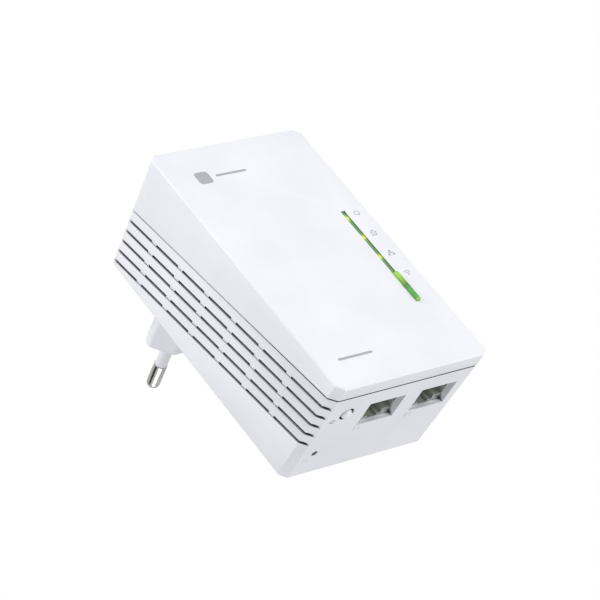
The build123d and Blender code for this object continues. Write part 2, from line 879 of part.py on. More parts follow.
# ---------------------------------------------------------------- network sockets
socket_front_y = front_y + port_centre_depth - port_height / 2 + 0.2
socket_rear_y = socket_front_y + socket_body
latch_width = 6.2
latch_depth = 1.6
latch_slot_width = 3.4
latch_slot_depth = 0.8
contact_thickness = 0.3
contact_groove = 0.4
contact_room = 1.9
contact_bend_y = socket_front_y - 1.4
contact_rear_z = jack_low + jack_length - 1.4
contact_front_z = jack_low + 1.6
contact_tip = (socket_front_y + 2.1, jack_low + 8.6)


def contact_form(x, thickness, width):
    """A bent strip: up from the board, along the socket and back down into its opening."""
    with BuildPart() as strip:
        with BuildSketch(Plane.YZ.offset(x)):
            with BuildLine() as strip_path:
                FilletPolyline(
                    (main_front, contact_rear_z),
                    (contact_bend_y, contact_rear_z),
                    (contact_bend_y, contact_front_z),
                    contact_tip,
                    radius=0.5,
                )
            trace(strip_path.line, line_width=thickness)
        extrude(amount=width / 2, both=True)
        split(bisect_by=Plane.XZ.offset(-main_front), keep=Keep.TOP)
    return strip.part


contact_span = contact_count * contact_pitch + 0.3

for name, x in (("left", jack_centres[0]), ("right", jack_centres[1])):
    with BuildPart() as lan_jack:
        with Locations((x, main_front - jack_height / 2, jack_low + jack_length / 2)):
            Box(jack_width, jack_height, jack_length)
        with BuildSketch(Plane.XY.offset(jack_low)):
            with Locations((x, (socket_front_y + socket_rear_y) / 2)):
                Rectangle(socket_width, socket_body)
            with Locations((x, socket_rear_y + latch_depth / 2)):
                Rectangle(latch_width, latch_depth)
            with Locations((x, socket_rear_y + latch_depth + latch_slot_depth / 2)):
                Rectangle(latch_slot_width, latch_slot_depth)
        extrude(amount=socket_depth, mode=Mode.SUBTRACT)
        # Space that the contacts spring back into, and a groove for them round the rear
        with Locations((x, socket_front_y - contact_room / 2, (contact_front_z + contact_tip[1]) / 2)):
            Box(
                contact_span,
                contact_room,
                contact_tip[1] - contact_front_z + contact_room / 2,
                mode=Mode.SUBTRACT,
            )
        add(contact_form(x, contact_groove, contact_span), mode=Mode.SUBTRACT)
    keep(lan_jack, f"lan_jack_{name}")

    with BuildPart() as lan_contacts:
        with GridLocations(contact_pitch, 1, contact_count, 1):
            add(contact_form(x, contact_thickness, contact_width))
    keep(lan_contacts, f"lan_contacts_{name}")

# ---------------------------------------------------------------- chips on the main board
magnetics_size = (9.0, 4.6, 8.6)
magnetics_z = 28.4

with BuildPart() as lan_magnetics:
    for x in (-8.0, 4.6):
        add(chip(on_main_front(x, magnetics_z, magnetics_size[1]), magnetics_size, 6))
keep(lan_magnetics, "lan_magnetics")

plc_x = -5.0
plc_z = 51.0
plc_thickness = 1.4
plc_size = (14.0, plc_thickness, 14.0)
sink_base = 1.6
sink_fin = 5.4
sink_width = 21.0
sink_height = 20.0
sink_fins = 7
sink_fin_width = 1.0

with BuildPart() as plc_chip:
    add(chip(on_main_front(plc_x, plc_z, plc_thickness), plc_size, 0))
keep(plc_chip, "plc_chip")

with BuildPart() as heat_sink:
    with Locations((plc_x, main_front - plc_thickness - sink_base / 2, port_z + plc_z)):
        Box(sink_width, sink_base, sink_height)
    with Locations((plc_x, main_front - plc_thickness - sink_base - sink_fin / 2, port_z + plc_z)):
        fin_step = (sink_width - sink_fin_width) / (sink_fins - 1)
        with Locations([(fin_step * (i - (sink_fins - 1) / 2), 0, 0) for i in range(sink_fins)]):
            Box(sink_fin_width, sink_fin, sink_height)
keep(heat_sink, "heat_sink")

radio_x = -2.0
radio_z = body_height - 19.0
radio_size = (8.0, 0.9, 8.0)
shield_width = 20.0
shield_depth = 2.4
shield_height = 16.0
shield_sheet = 0.3
shield_radius = 0.8
memory_size = (8.0, 1.2, 12.0)
flash_size = (4.0, 1.6, 5.2)
side_chips_x = 11.4
memory_z = 48.0
flash_z = 60.5

with BuildPart() as wifi_chip:
    add(chip(on_main_front(radio_x, radio_z, radio_size[1]), radio_size, 0))
keep(wifi_chip, "wifi_chip")

with BuildPart() as wifi_shield:
    with Locations(on_main_front(radio_x, radio_z, shield_depth)):
        Box(shield_width, shield_depth, shield_height)
    fillet(wifi_shield.edges().filter_by(Axis.Y), shield_radius)
    with Locations(on_main_front(radio_x, radio_z, shield_depth - shield_sheet)):
        Box(
            shield_width - 2 * shield_sheet,
            shield_depth - shield_sheet,
            shield_height - 2 * shield_sheet,
            mode=Mode.SUBTRACT,
        )
keep(wifi_shield, "wifi_shield")

with BuildPart() as memory_chip:
    add(chip(on_main_front(side_chips_x, memory_z, memory_size[1]), memory_size, 0))
keep(memory_chip, "memory_chip")

with BuildPart() as flash_chip:
    add(chip(on_main_front(side_chips_x, flash_z, flash_size[1]), flash_size, 4))
keep(flash_chip, "flash_chip")

crystal_size = (3.2, 0.8, 2.5)
crystal_places = ((side_chips_x, 38.4), (12.6, body_height - 24))

with BuildPart() as crystals:
    for x, z in crystal_places:
        with Locations(on_main_front(x, z, crystal_size[1])):
            Box(*crystal_size)
    fillet(crystals.edges().filter_by(Axis.Y), 0.3)
keep(crystals, "crystals")

small_can_radius = 3.15
small_can_length = 7.7
small_can_places = ((-18.4, port_z + 19.6), (-18.4, port_z + 28.6), (13, top_z - 14.5))

with BuildPart() as board_capacitors:
    with BuildSketch(facing(main_front)):
        with Locations(*small_can_places):
            Circle(small_can_radius)
    extrude(amount=small_can_length)
    fillet(board_capacitors.edges(), can_edge_radius)
keep(board_capacitors, "board_capacitors")

inductor_size = 5.8
inductor_height = 3.0
inductor_x = -19.0
inductor_bevel = 1.0

with BuildPart() as power_inductors:
    for z in (46.0, 53.0):
        with Locations(on_main_front(inductor_x, z, inductor_height)):
            Box(inductor_size, inductor_height, inductor_size)
    chamfer(power_inductors.edges().filter_by(Axis.Y), inductor_bevel)
keep(power_inductors, "power_inductors")

# ---------------------------------------------------------------- antenna boards, upright on the edges
antenna_reach = 14.0
antenna_thickness = 0.8
antenna_low = body_height - 36.0
antenna_high = body_height - 14.0
antenna_x = main_board_width / 2 - 0.9
for name, side in (("left", -1), ("right", 1)):
    with BuildPart() as antenna:
        with Locations((side * antenna_x, main_front, port_z + (antenna_low + antenna_high) / 2)):
            Box(
                antenna_thickness,
                antenna_reach,
                antenna_high - antenna_low,
                align=(Align.CENTER, Align.MAX, Align.CENTER),
            )
        fillet(antenna.faces().sort_by(Axis.Y)[0].edges().filter_by(Axis.X), 1.0)
    keep(antenna, f"antenna_{name}")

# ---------------------------------------------------------------- status lights, light guide and key
light_heights = [light_lowest + i * light_pitch for i in range(light_count)]
light_thickness = 0.7
light_width = 0.8
light_length = 1.6
light_gap = 0.3
guide_gap = 0.05
guide_overlap = 0.5
post_radius_light = 1.0

with BuildPart() as status_lights:
    for height in light_heights:
        with Locations(on_main_front(slot_x, height, light_thickness)):
            Box(light_width, light_thickness, light_length)
keep(status_lights, "status_lights")

inner_front = front_y + wall
with BuildPart() as light_guide:
    guide_low = port_z + key_top + key_gap
    guide_high = port_z + slot_top - guide_gap
    with Locations((slot_x, front_y + guide_recess, (guide_low + guide_high) / 2)):
        Box(
            slot_width - 2 * guide_gap,
            wall + guide_overlap - guide_recess,
            guide_high - guide_low,
            align=(Align.CENTER, Align.MIN, Align.CENTER),
        )
    with Locations((slot_x, inner_front, (guide_low + guide_high) / 2 + guide_overlap)):
        Box(
            flange_width,
            flange_thickness,
            guide_high - guide_low + 2 * guide_overlap,
            align=(Align.CENTER, Align.MIN, Align.CENTER),
        )
    with BuildSketch(facing(inner_front + flange_thickness)):
        with Locations(*[(slot_x, port_z + height) for height in light_heights[1:]]):
            Circle(post_radius_light)
    extrude(amount=-(main_front - light_thickness - light_gap - inner_front - flange_thickness))
keep(light_guide, "light_guide")

plunger_tip = main_front - switch_body - plunger_proud
wifi_switch_z = 27.4
key_edge_radius = 0.3
key_stem_radius = 1.4
key_light_radius = 0.9
with BuildPart() as wifi_button:
    key_low = port_z + slot_bottom + key_gap
    key_high = port_z + key_top
    with BuildSketch(facing(front_y - key_proud)):
        with Locations((slot_x, (key_low + key_high) / 2)):
            Rectangle(slot_width - 2 * key_gap, key_high - key_low)
    extrude(amount=-(key_proud + wall + 1))
    fillet(wifi_button.faces().sort_by(Axis.Y)[0].edges(), key_edge_radius)
    flange_y = inner_front + touch_gap
    with Locations((slot_x, flange_y, (key_low + key_high) / 2 - guide_overlap)):
        Box(
            flange_width,
            flange_thickness,
            key_high - key_low + 2 * guide_overlap - 2 * key_gap,
            align=(Align.CENTER, Align.MIN, Align.CENTER),
        )
    with BuildSketch(facing(flange_y + flange_thickness)):
        with Locations((slot_x, port_z + wifi_switch_z)):
            Circle(key_stem_radius)
    extrude(amount=-(plunger_tip - touch_gap - flange_y - flange_thickness))
    with BuildSketch(facing(flange_y + flange_thickness)):
        with Locations((slot_x, port_z + light_lowest)):
            Circle(key_light_radius)
    light_post_end = main_front - light_thickness - light_gap - switch_travel - key_gap
    extrude(amount=-(light_post_end - flange_y - flange_thickness))
keep(wifi_button, "wifi_button")


# ---------------------------------------------------------------- push switches
def switch_case(seat, leg_to):
    """Body of a push switch; seat's Z is the way its plunger points, and the legs run to leg_to."""
    with BuildPart() as case:
        with BuildSketch(seat):
            RectangleRounded(switch_size, switch_size, switch_corner)
        extrude(amount=switch_body)
        if leg_to:
            with BuildSketch(seat):
                leg_x = switch_size / 2 - switch_leg_inset
                with Locations((-leg_x, leg_to / 2), (leg_x, leg_to / 2)):
                    Rectangle(switch_leg_width, abs(leg_to))
            extrude(amount=switch_leg_thickness)
        with BuildSketch(seat.offset(switch_body)):
            Circle(plunger_radius + plunger_gap)
        extrude(amount=-plunger_bore, mode=Mode.SUBTRACT)
    return case.part


def switch_plunger(seat):
    """The moving part of a push switch, with play below it for its travel."""
    with BuildPart() as plunger:
        with BuildSketch(seat.offset(switch_body - plunger_hold)):
            Circle(plunger_radius)
        extrude(amount=plunger_proud + plunger_hold)
        fillet(plunger.edges().filter_by(GeomType.CIRCLE), plunger_edge)
    return plunger.part


pair_wall_top = port_end(front_y + pair_depth + pair_flange / 2) + wall / port_plane_cos
reset_wall_top = port_end(front_y + reset_depth + plunger_radius) + wall / port_plane_cos
pair_flange_z = pair_wall_top + key_gap
pair_switch_z = pair_flange_z + pair_stem_length + plunger_proud + switch_body
reset_switch_z = reset_wall_top + reset_space + plunger_proud + switch_body
wifi_seat = Plane(origin=(slot_x, main_front, port_z + wifi_switch_z), x_dir=(1, 0, 0), z_dir=(0, -1, 0))
pair_seat = Plane(origin=(pair_x, front_y + pair_depth, pair_switch_z), x_dir=(1, 0, 0), z_dir=(0, 0, -1))
reset_seat = Plane(
    origin=(reset_x, front_y + reset_depth, reset_switch_z), x_dir=(1, 0, 0), z_dir=(0, 0, -1)
)
pair_leg = -(main_front - front_y - pair_depth)
reset_leg = front_y + reset_depth - main_rear

for name, seat, leg in (
    ("wifi", wifi_seat, 0),
    ("pair", pair_seat, pair_leg),
    ("reset", reset_seat, reset_leg),
):
    with BuildPart() as switch_part:
        add(switch_case(seat, leg))
    keep(switch_part, f"{name}_switch_body")
    with BuildPart() as plunger_part:
        add(switch_plunger(seat))
    keep(plunger_part, f"{name}_switch_plunger")

# ---------------------------------------------------------------- pair button
with BuildPart() as pair_button:
    button_face = port_end(front_y + pair_depth) - pair_proud
    button_rear = pair_switch_z - switch_body - plunger_proud - touch_gap
    with BuildSketch(Plane.XY.offset(button_face)):
        with Locations((pair_x, front_y + pair_depth)):
            Circle(pair_cap / 2)
    extrude(amount=pair_flange_z - button_face + pair_flange_thickness / 2)
    fillet(pair_button.faces().sort_by(Axis.Z)[0].edges(), pair_edge_radius)
    with BuildSketch(Plane.XY.offset(pair_flange_z)):
        with Locations((pair_x, front_y + pair_depth)):
            Circle(pair_flange / 2)
    extrude(amount=pair_flange_thickness)
    with BuildSketch(Plane.XY.offset(pair_flange_z)):
        with Locations((pair_x, front_y + pair_depth)):
            Circle(pair_stem_radius)
    extrude(amount=button_rear - pair_flange_z)
keep(pair_button, "pair_button")

# ---------------------------------------------------------------- rating label
label_width = 36.0
label_height = 44.0
label_centre = 38.0
label_thickness = 0.15
label_corner = 1.5
with BuildPart() as rating_label:
    with BuildSketch(facing(back_y)):
        with Locations((0, port_z + label_centre)):
            RectangleRounded(label_width, label_height, label_corner)
    extrude(amount=-label_thickness)
keep(rating_label, "rating_label")
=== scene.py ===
"""A white wall-plug powerline adapter: slanting vent bands, a green light strip and two sockets.

Lengths are in metres. Names that end in _mm, and the sheets of printed marks, are in millimetres.
"""

import math

import bmesh
import bpy
from mathutils import Matrix, Vector


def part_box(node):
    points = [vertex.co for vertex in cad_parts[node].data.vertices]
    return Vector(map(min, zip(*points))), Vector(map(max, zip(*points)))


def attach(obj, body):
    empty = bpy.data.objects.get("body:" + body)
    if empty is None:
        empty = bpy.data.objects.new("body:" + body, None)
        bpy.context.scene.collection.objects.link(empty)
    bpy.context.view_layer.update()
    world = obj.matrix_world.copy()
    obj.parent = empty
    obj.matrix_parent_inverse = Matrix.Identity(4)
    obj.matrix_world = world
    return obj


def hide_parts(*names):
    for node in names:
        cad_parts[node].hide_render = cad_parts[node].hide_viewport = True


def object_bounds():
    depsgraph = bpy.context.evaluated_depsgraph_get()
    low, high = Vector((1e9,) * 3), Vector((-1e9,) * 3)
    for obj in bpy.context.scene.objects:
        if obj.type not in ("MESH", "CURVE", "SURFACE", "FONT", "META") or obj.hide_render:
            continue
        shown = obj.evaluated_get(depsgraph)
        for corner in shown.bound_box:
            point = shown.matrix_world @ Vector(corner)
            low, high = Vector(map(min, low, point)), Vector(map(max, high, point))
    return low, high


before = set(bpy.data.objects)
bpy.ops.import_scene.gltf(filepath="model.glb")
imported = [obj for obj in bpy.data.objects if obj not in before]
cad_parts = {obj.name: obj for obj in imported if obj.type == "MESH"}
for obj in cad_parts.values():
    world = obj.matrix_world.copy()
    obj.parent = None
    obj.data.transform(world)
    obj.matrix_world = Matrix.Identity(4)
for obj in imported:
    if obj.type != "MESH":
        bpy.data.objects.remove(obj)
cad_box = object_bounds()

# ---------------------------------------------------------------- Casing: cover and housing
# Two injection-moulded halves in white ABS that snap together along a slanting line. The tool was
# spark-eroded to a very fine satin grain, and every outside edge has a small moulded rounding.


def linear(hex_colour):
    """A colour given as an sRGB hex value, turned into the linear values that shaders use."""
    channels = [int(hex_colour[i : i + 2], 16) / 255 for i in (0, 2, 4)]
    return [c / 12.92 if c <= 0.04045 else ((c + 0.055) / 1.055) ** 2.4 for c in channels] + [1.0]


def new_material(name, **settings):
    """A material whose Principled shader has these constant settings; returns both."""
    material = bpy.data.materials.new(name)
    material.use_nodes = True
    shader = material.node_tree.nodes["Principled BSDF"]
    for key, value in settings.items():
        shader.inputs[key.replace("_", " ")].default_value = value
    return material, shader


def add_node(owner, kind, links=None, settings=None, **attributes):
    """Adds one node with its attributes, its constant inputs and the sockets that feed it."""
    node = owner.node_tree.nodes.new("ShaderNode" + kind)
    for key, value in attributes.items():
        setattr(node, key, value)
    for key, value in (settings or {}).items():
        node.inputs[key].default_value = value
    for key, source in (links or {}).items():
        owner.node_tree.links.new(source, node.inputs[key])
    return node


def link(owner, source, socket):
    """Feeds a socket of a node that is already there."""
    owner.node_tree.links.new(source, socket)


def colour_steps(node, steps):
    """Fills a colour ramp with (place, hex colour) pairs."""
    elements = node.color_ramp.elements
    while len(elements) > 1:
        elements.remove(elements[-1])
    elements[0].position = steps[0][0]
    elements[0].color = linear(steps[0][1])
    for place, hex_colour in steps[1:]:
        elements.new(place).color = linear(hex_colour)


cloud_mm = 18.0
plastic_index = 1.53
# How far the occlusion test that paints shade into slots and seams looks for walls.
slot_reach = 0.0025
slot_samples = 16


def moulded_plastic(
    name, light, shade, grain_mm, roughness, grain_height=0.00002, painted_slot_shade=None
):
    """Moulded plastic: faint clouds in its colour and a fine grain that breaks up the gloss.

    Its last argument lists painted shade: the tint at each share of open space round a point, which
    darkens slots and seams.
    """
    material, shader = new_material(name, Roughness=roughness, IOR=plastic_index)
    place = add_node(material, "TexCoord").outputs["Object"]
    cloud = add_node(
        material, "TexNoise", {"Vector": place}, {"Scale": 1000 / cloud_mm, "Detail": 3.0}
    )
    tint = add_node(material, "ValToRGB", {"Fac": cloud.outputs["Fac"]})
    colour_steps(tint, [(0.3, shade), (0.7, light)])
    colour = tint.outputs["Color"]
    # Painted shade: the colour is multiplied down where the occlusion test finds walls close round
    # the point.
    if painted_slot_shade:
        open_space = add_node(
            material, "AmbientOcclusion", settings={"Distance": slot_reach}, samples=slot_samples
        )
        depth = add_node(material, "ValToRGB", {"Fac": open_space.outputs["AO"]})
        colour_steps(depth, painted_slot_shade)
        painted_shade_colour = add_node(
            material,
            "VectorMath",
            {0: colour, 1: depth.outputs["Color"]},
            operation="MULTIPLY",
        )
        colour = painted_shade_colour.outputs["Vector"]
    link(material, colour, shader.inputs["Base Color"])
    grain = add_node(
        material,
        "TexNoise",
        {"Vector": place},
        {"Scale": 1000 / grain_mm, "Detail": 2.0, "Roughness": 0.6},
    )
    bump = add_node(
        material,
        "Bump",
        {"Height": grain.outputs["Fac"]},
        {"Strength": 0.25, "Distance": grain_height},
    )
    link(material, bump.outputs["Normal"], shader.inputs["Normal"])
    return material


# The eroded grain gives a soft satin sheen. It is about 0.05 mm, drawn at 0.3 mm so that it shows.
# Little light gets back out of the 1.5 mm vents and the seam, so shade is painted into the white,
# taking it down to a dark grey where other walls close it in.
casing_white = moulded_plastic(
    "satin_white_ABS",
    light="F6F6FA",
    shade="F0F0F6",
    grain_mm=0.3,
    roughness=0.36,
    painted_slot_shade=[
        (0.12, "303034"),
        (0.31, "54545A"),
        (0.38, "A4A4AA"),
        (0.45, "DCDCE2"),
        (0.6, "FFFFFF"),
    ],
)


def finish_mesh(name, bm, material, body, node_names=(), smooth_below=40):
    """Makes a bmesh into a finished piece that rides on a body and may stand for CAD nodes."""
    mesh = bpy.data.meshes.new(name)
    bm.normal_update()
    bm.to_mesh(mesh)
    bm.free()
    mesh.materials.append(material)
    piece = bpy.data.objects.new(name, mesh)
    bpy.context.scene.collection.objects.link(piece)
    for polygon in mesh.polygons:
        polygon.use_smooth = True
    mesh.set_sharp_from_angle(angle=math.radians(smooth_below))
    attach(piece, body)
    if node_names:
        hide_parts(*node_names)
    return piece


weld = 1e-6
flat_within = math.radians(1)


def merged_copy(node_name):
    """A bmesh of a CAD node with its loose triangles joined and its flat faces made whole."""
    bm = bmesh.new()
    bm.from_mesh(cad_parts[node_name].data)
    bmesh.ops.remove_doubles(bm, verts=bm.verts, dist=weld)
    bmesh.ops.dissolve_limit(
        bm, angle_limit=flat_within, verts=bm.verts, edges=bm.edges, delimit={"NORMAL"}
    )
    return bm


edge_round = 0.00022
round_steps = 3
sharp_edge = math.radians(20)


def round_edges(bm, keep_edge, width):
    """Rounds the sharp convex edges that keep_edge picks."""
    picked = [
        edge
        for edge in bm.edges
        if edge.is_manifold
        and edge.is_convex
        and edge.calc_face_angle() > sharp_edge
        and keep_edge(edge)
    ]
    bmesh.ops.bevel(
        bm,
        geom=picked,
        offset=width,
        offset_type="OFFSET",
        segments=round_steps,
        profile=0.5,
        affect="EDGES",
        material=-1,
        clamp_overlap=True,
    )


def middle_of(edge):
    """The point halfway along an edge."""
    return (edge.verts[0].co + edge.verts[1].co) / 2


cover_low, cover_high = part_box("front_cover")
face_band = 0.0006
side_band = 0.0022
shortest_side_edge = 0.002


def on_cover_outside(edge):
    """Edges round the cover's face, and the longer ones of its four sides."""
    middle = middle_of(edge)
    to_side = min(
        middle.x - cover_low.x,
        cover_high.x - middle.x,
        middle.z - cover_low.z,
        cover_high.z - middle.z,
    )
    on_side = to_side < side_band and edge.calc_length() > shortest_side_edge
    return middle.y < cover_low.y + face_band or on_side


cover = merged_copy("front_cover")
round_edges(cover, on_cover_outside, edge_round)
finish_mesh(
    "cover_shell", cover, casing_white, "casing", ["front_cover"], smooth_below=30
)

housing_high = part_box("rear_housing")[1]
back_band = 0.0015
shortest_back_edge = 0.03


def on_housing_outside(edge):
    """Long edges round the housing's back; the vents and openings keep their crisp edges."""
    near_back = middle_of(edge).y > housing_high.y - back_band
    return near_back and edge.calc_length() > shortest_back_edge


housing = merged_copy("rear_housing")
round_edges(housing, on_housing_outside, edge_round)
finish_mesh(
    "housing_shell",
    housing,
    casing_white,
    "casing",
    ["rear_housing"],
    smooth_below=30,
)

# ---------------------------------------------------------------- Printed marks on the cover
# Cool grey ink pad-printed on the white cover: a plain rounded square with a bar beside it, a
# status sign next to each light and a plain bar near the port end. The film stands 0.02 mm proud.

# The ink dries matt with a faint speckle, so the marks look soft and a little uneven.
speckle_mm = 0.111
printed_grey, ink_shader = new_material("pad_printed_grey_ink", Roughness=0.5)
ink_place = add_node(printed_grey, "TexCoord").outputs["Object"]
ink_speckle = add_node(
    printed_grey, "TexNoise", {"Vector": ink_place}, {"Scale": 1000 / speckle_mm, "Detail": 1.0}
)
ink_tint = add_node(printed_grey, "ValToRGB", {"Fac": ink_speckle.outputs["Fac"]})
colour_steps(ink_tint, [(0.35, "ACACB2"), (0.65, "B8B8BE")])
link(printed_grey, ink_tint.outputs["Color"], ink_shader.inputs["Base Color"])


def flat_bar(bm, start, end, width, thickness, roundness=0.45):
    """A straight stroke with rounded corners between two points of a sheet."""
    start, end = Vector((*start, 0)), Vector((*end, 0))
    run = end - start
    made = bmesh.ops.create_cube(bm, size=1)["verts"]
    bmesh.ops.scale(bm, vec=(run.length + width, width, thickness), verts=made)
    corners = [
        edge
        for vert in made
        for edge in vert.link_edges
        if edge.verts[0] == vert and abs((vert.co - edge.verts[1].co).z) > thickness / 2
    ]
    rounded = bmesh.ops.bevel(
        bm,
        geom=corners,
        offset=width * roundness,
        segments=4,
        profile=0.5,
        affect="EDGES",
        material=-1,
    )
    whole = [vert for vert in made if vert.is_valid]
    whole += [vert for vert in rounded["verts"] if vert.is_valid and vert not in whole]
    turn = Matrix.Rotation(math.atan2(run.y, run.x), 3, "Z")
    bmesh.ops.rotate(bm, cent=(0, 0, 0), matrix=turn, verts=whole)
    bmesh.ops.translate(bm, vec=(start + end) / 2, verts=whole)


def flat_arc(bm, centre, radius, width, thickness, first, last, steps=18):
    """A bent stroke round a centre of a sheet, from the first to the last angle in degrees."""
    inner, outer, half = radius - width / 2, radius + width / 2, thickness / 2
    section = [
        bm.verts.new((centre[0] + reach, centre[1], height))
        for reach, height in ((inner, -half), (outer, -half), (outer, half), (inner, half))
    ]
    face = bm.faces.new(section)
    turn = Matrix.Rotation(math.radians(first), 3, "Z")
    bmesh.ops.rotate(bm, cent=(*centre, 0), matrix=turn, verts=section)
    cap = bmesh.ops.duplicate(bm, geom=[face])["geom"]
    bmesh.ops.spin(
        bm,
        geom=cap,
        cent=(*centre, 0),
        axis=(0, 0, 1),
        angle=math.radians(last - first),
        steps=steps,
    )
    bmesh.ops.remove_doubles(bm, verts=bm.verts, dist=1e-4)


millimetre = 0.001
port_end_z = cover_low.z
quarter_turn = math.radians(90)


def on_front(bm, x_mm, z_mm, scale=1.0):
    """Turns a sheet, X right and Y up, onto the cover's face, measured from the port end."""
    bmesh.ops.recalc_face_normals(bm, faces=bm.faces)
    place = Matrix.Translation((x_mm * millimetre, cover_low.y, port_end_z + z_mm * millimetre))
    upright = Matrix.Rotation(quarter_turn, 4, "X")
    bmesh.ops.scale(bm, vec=(scale, scale, 1), verts=bm.verts)
    bmesh.ops.transform(
        bm, matrix=place @ upright @ Matrix.Scale(millimetre, 4), verts=bm.verts
    )


film_mm = 0.04
bar_width_mm = 0.8
square_width_mm = 4.6
mark = bmesh.new()
flat_bar(mark, (-0.05, 0), (0.05, 0), square_width_mm, film_mm, roundness=0.22)
flat_bar(mark, (4.6, 0), (14.6, 0), bar_width_mm, film_mm)
on_front(mark, x_mm=-15.6, z_mm=82.0)
finish_mesh("square_mark", mark, printed_grey, "casing")

port_bar = bmesh.new()
flat_bar(port_bar, (-5.6, 0), (5.6, 0), bar_width_mm, film_mm)
on_front(port_bar, x_mm=-13.9, z_mm=10.2)
finish_mesh("plain_bar", port_bar, printed_grey, "casing")

stroke_mm = 0.3
dot_mm = 0.6
block_mm = 0.75


def power_sign(bm):
    """A ring open at the top with a stroke in the gap."""
    flat_arc(bm, (0, -0.1), 1.05, stroke_mm, film_mm, 125, 415)
    flat_bar(bm, (0, 0.2), (0, 1.1), stroke_mm, film_mm)


def home_sign(bm):
    """A house with a door."""
    for start, end in (
        ((-1.25, 0.1), (0, 1.15)),
        ((0, 1.15), (1.25, 0.1)),
        ((-0.85, -1.15), (-0.85, 0.2)),
        ((0.85, -1.15), (0.85, 0.2)),
        ((-0.85, -1.15), (0.85, -1.15)),
        ((0, -0.6), (0, 0.2)),
    ):
        flat_bar(bm, start, end, stroke_mm, film_mm)


def tree_sign(bm):
    """One block above, two below, and the lines that join them."""
    for start, end, width_mm in (
        ((-0.1, 0.9), (0.1, 0.9), block_mm),
        ((-1.1, -0.9), (-0.9, -0.9), block_mm),
        ((0.9, -0.9), (1.1, -0.9), block_mm),
        ((0, 0), (0, 0.6), stroke_mm),
        ((-1.0, 0), (1.0, 0), stroke_mm),
        ((-1.0, -0.6), (-1.0, 0), stroke_mm),
        ((1.0, -0.6), (1.0, 0), stroke_mm),
    ):
        flat_bar(bm, start, end, width_mm, film_mm)


def radio_sign(bm):
    """Two waves over a dot."""
    for radius in (2.0, 1.2):
        flat_arc(bm, (0, -0.9), radius, stroke_mm, film_mm, 45, 135)
    flat_bar(bm, (-0.05, -0.75), (0.05, -0.75), dot_mm, film_mm)


sign_x_mm = 22.7
sign_scale = 0.82
for sign_name, draw, sign_z_mm in (
    ("power_sign", power_sign, 58.4),
    ("home_sign", home_sign, 50.0),
    ("tree_sign", tree_sign, 41.7),
    ("radio_sign", radio_sign, 33.3),
):
    sign = bmesh.new()
    draw(sign)
    on_front(sign, sign_x_mm, sign_z_mm, sign_scale)
    finish_mesh(sign_name, sign, printed_grey, "casing")

# ---------------------------------------------------------------- Light strip and Wi-Fi key
# Green-tinted clear acrylic: a light guide lies a little below the cover in its slot and glows over
# each light, and the key of the same plastic stands proud at its lower end.

key_low, key_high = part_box("wifi_button")
lights_low, lights_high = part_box("status_lights")
light_half = 0.0008
light_gaps = 3
light_pitch = (lights_high.z - lights_low.z - 2 * light_half) / light_gaps
ripple_mm = 1.11


def glowing_acrylic(name, along, steps, strength):
    """Tinted acrylic lit from inside; along builds the value that its colour steps follow."""
    material, shader = new_material(
        name,
        Roughness=0.18,
        IOR=1.49,
        Coat_Weight=0.4,
        Coat_Roughness=0.08,
        Emission_Strength=strength,
    )
    place = add_node(material, "TexCoord").outputs["Object"]
    split = add_node(material, "SeparateXYZ", {"Vector": place})
    ramp = add_node(material, "ValToRGB", {"Fac": along(material, split)})
    colour_steps(ramp, steps)
    link(material, ramp.outputs["Color"], shader.inputs["Base Color"])
    link(material, ramp.outputs["Color"], shader.inputs["Emission Color"])
    ripple = add_node(
        material, "TexNoise", {"Vector": place}, {"Scale": 1000 / ripple_mm, "Detail": 1.0}
    )
    bump = add_node(
        material,
        "Bump",
        {"Height": ripple.outputs["Fac"]},
        {"Strength": 0.15, "Distance": 0.00002},
    )
    link(material, bump.outputs["Normal"], shader.inputs["Normal"])
    return material


def scaled_height(material, split, start, span):
    """0 at the height start, 1 at one span above it."""
    above = add_node(material, "Math", {0: split.outputs["Z"]}, {1: start}, operation="SUBTRACT")
    return add_node(material, "Math", {0: above.outputs[0]}, {1: span}, operation="DIVIDE")


def from_nearest_light(material, split):
    """0 over a light, 0.5 halfway between two."""
    pitches = scaled_height(material, split, lights_low.z + light_half, light_pitch)
    folded = add_node(
        material, "Math", {0: pitches.outputs[0]}, {1: 0.5}, operation="PINGPONG"
    )
    return folded.outputs[0]


def up_the_key(material, split):
    """0 at the key's lower end, 1 at its top."""
    return scaled_height(material, split, key_low.z, key_high.z - key_low.z).outputs[0]


# Lit acrylic is a deep clear green that blooms to yellow over each light, under a glossy skin.
strip_green = glowing_acrylic(
    "tinted_acrylic_light_guide",
    from_nearest_light,
    steps=[
        (0.0, "D8DE50"),
        (0.06, "C4D44A"),
        (0.12, "86B04B"),
        (0.2, "649A50"),
        (0.5, "5B904C"),
    ],
    strength=0.3,
)
# The key is brightest at its top, over its own light, and darkest at its middle.
key_green = glowing_acrylic(
    "tinted_acrylic_key",
    up_the_key,
    steps=[
        (0.03, "8CC455"),
        (0.1, "74B24A"),
        (0.15, "4C9A3C"),
        (0.42, "4C9A3C"),
        (0.55, "397C1C"),
        (0.68, "6FA32F"),
        (0.86, "93C840"),
        (1.0, "8CC23F"),
    ],
    strength=0.25,
)


def dress(material, *node_names):
    """Gives CAD nodes a finished material."""
    for node_name in node_names:
        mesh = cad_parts[node_name].data
        mesh.materials.clear()
        mesh.materials.append(material)


dress(strip_green, "light_guide")

key_face_band = 0.0004
key_edge_round = 0.00012


def on_key_face(edge):
    """Edges round the face that the finger presses."""
    return middle_of(edge).y < cover_low.y + key_face_band


key = merged_copy("wifi_button")
round_edges(key, on_key_face, key_edge_round)
finish_mesh("key_cap", key, key_green, "wifi_key", ["wifi_button"])

# ---------------------------------------------------------------- Pair button
# A glossy white ABS cap with a domed face in a wider hole, turned here as one form: dome, flange
# inside the casing and the thinner stem that presses the switch.

# A polished tool leaves the cap glossier than the casing, with small bright highlights.
gloss_white = moulded_plastic(
    "gloss_white_ABS",
    light="FBFBFD",
    shade="F5F5FA",
    grain_mm=0.4,
    roughness=0.16,
    grain_height=0.000006,
)


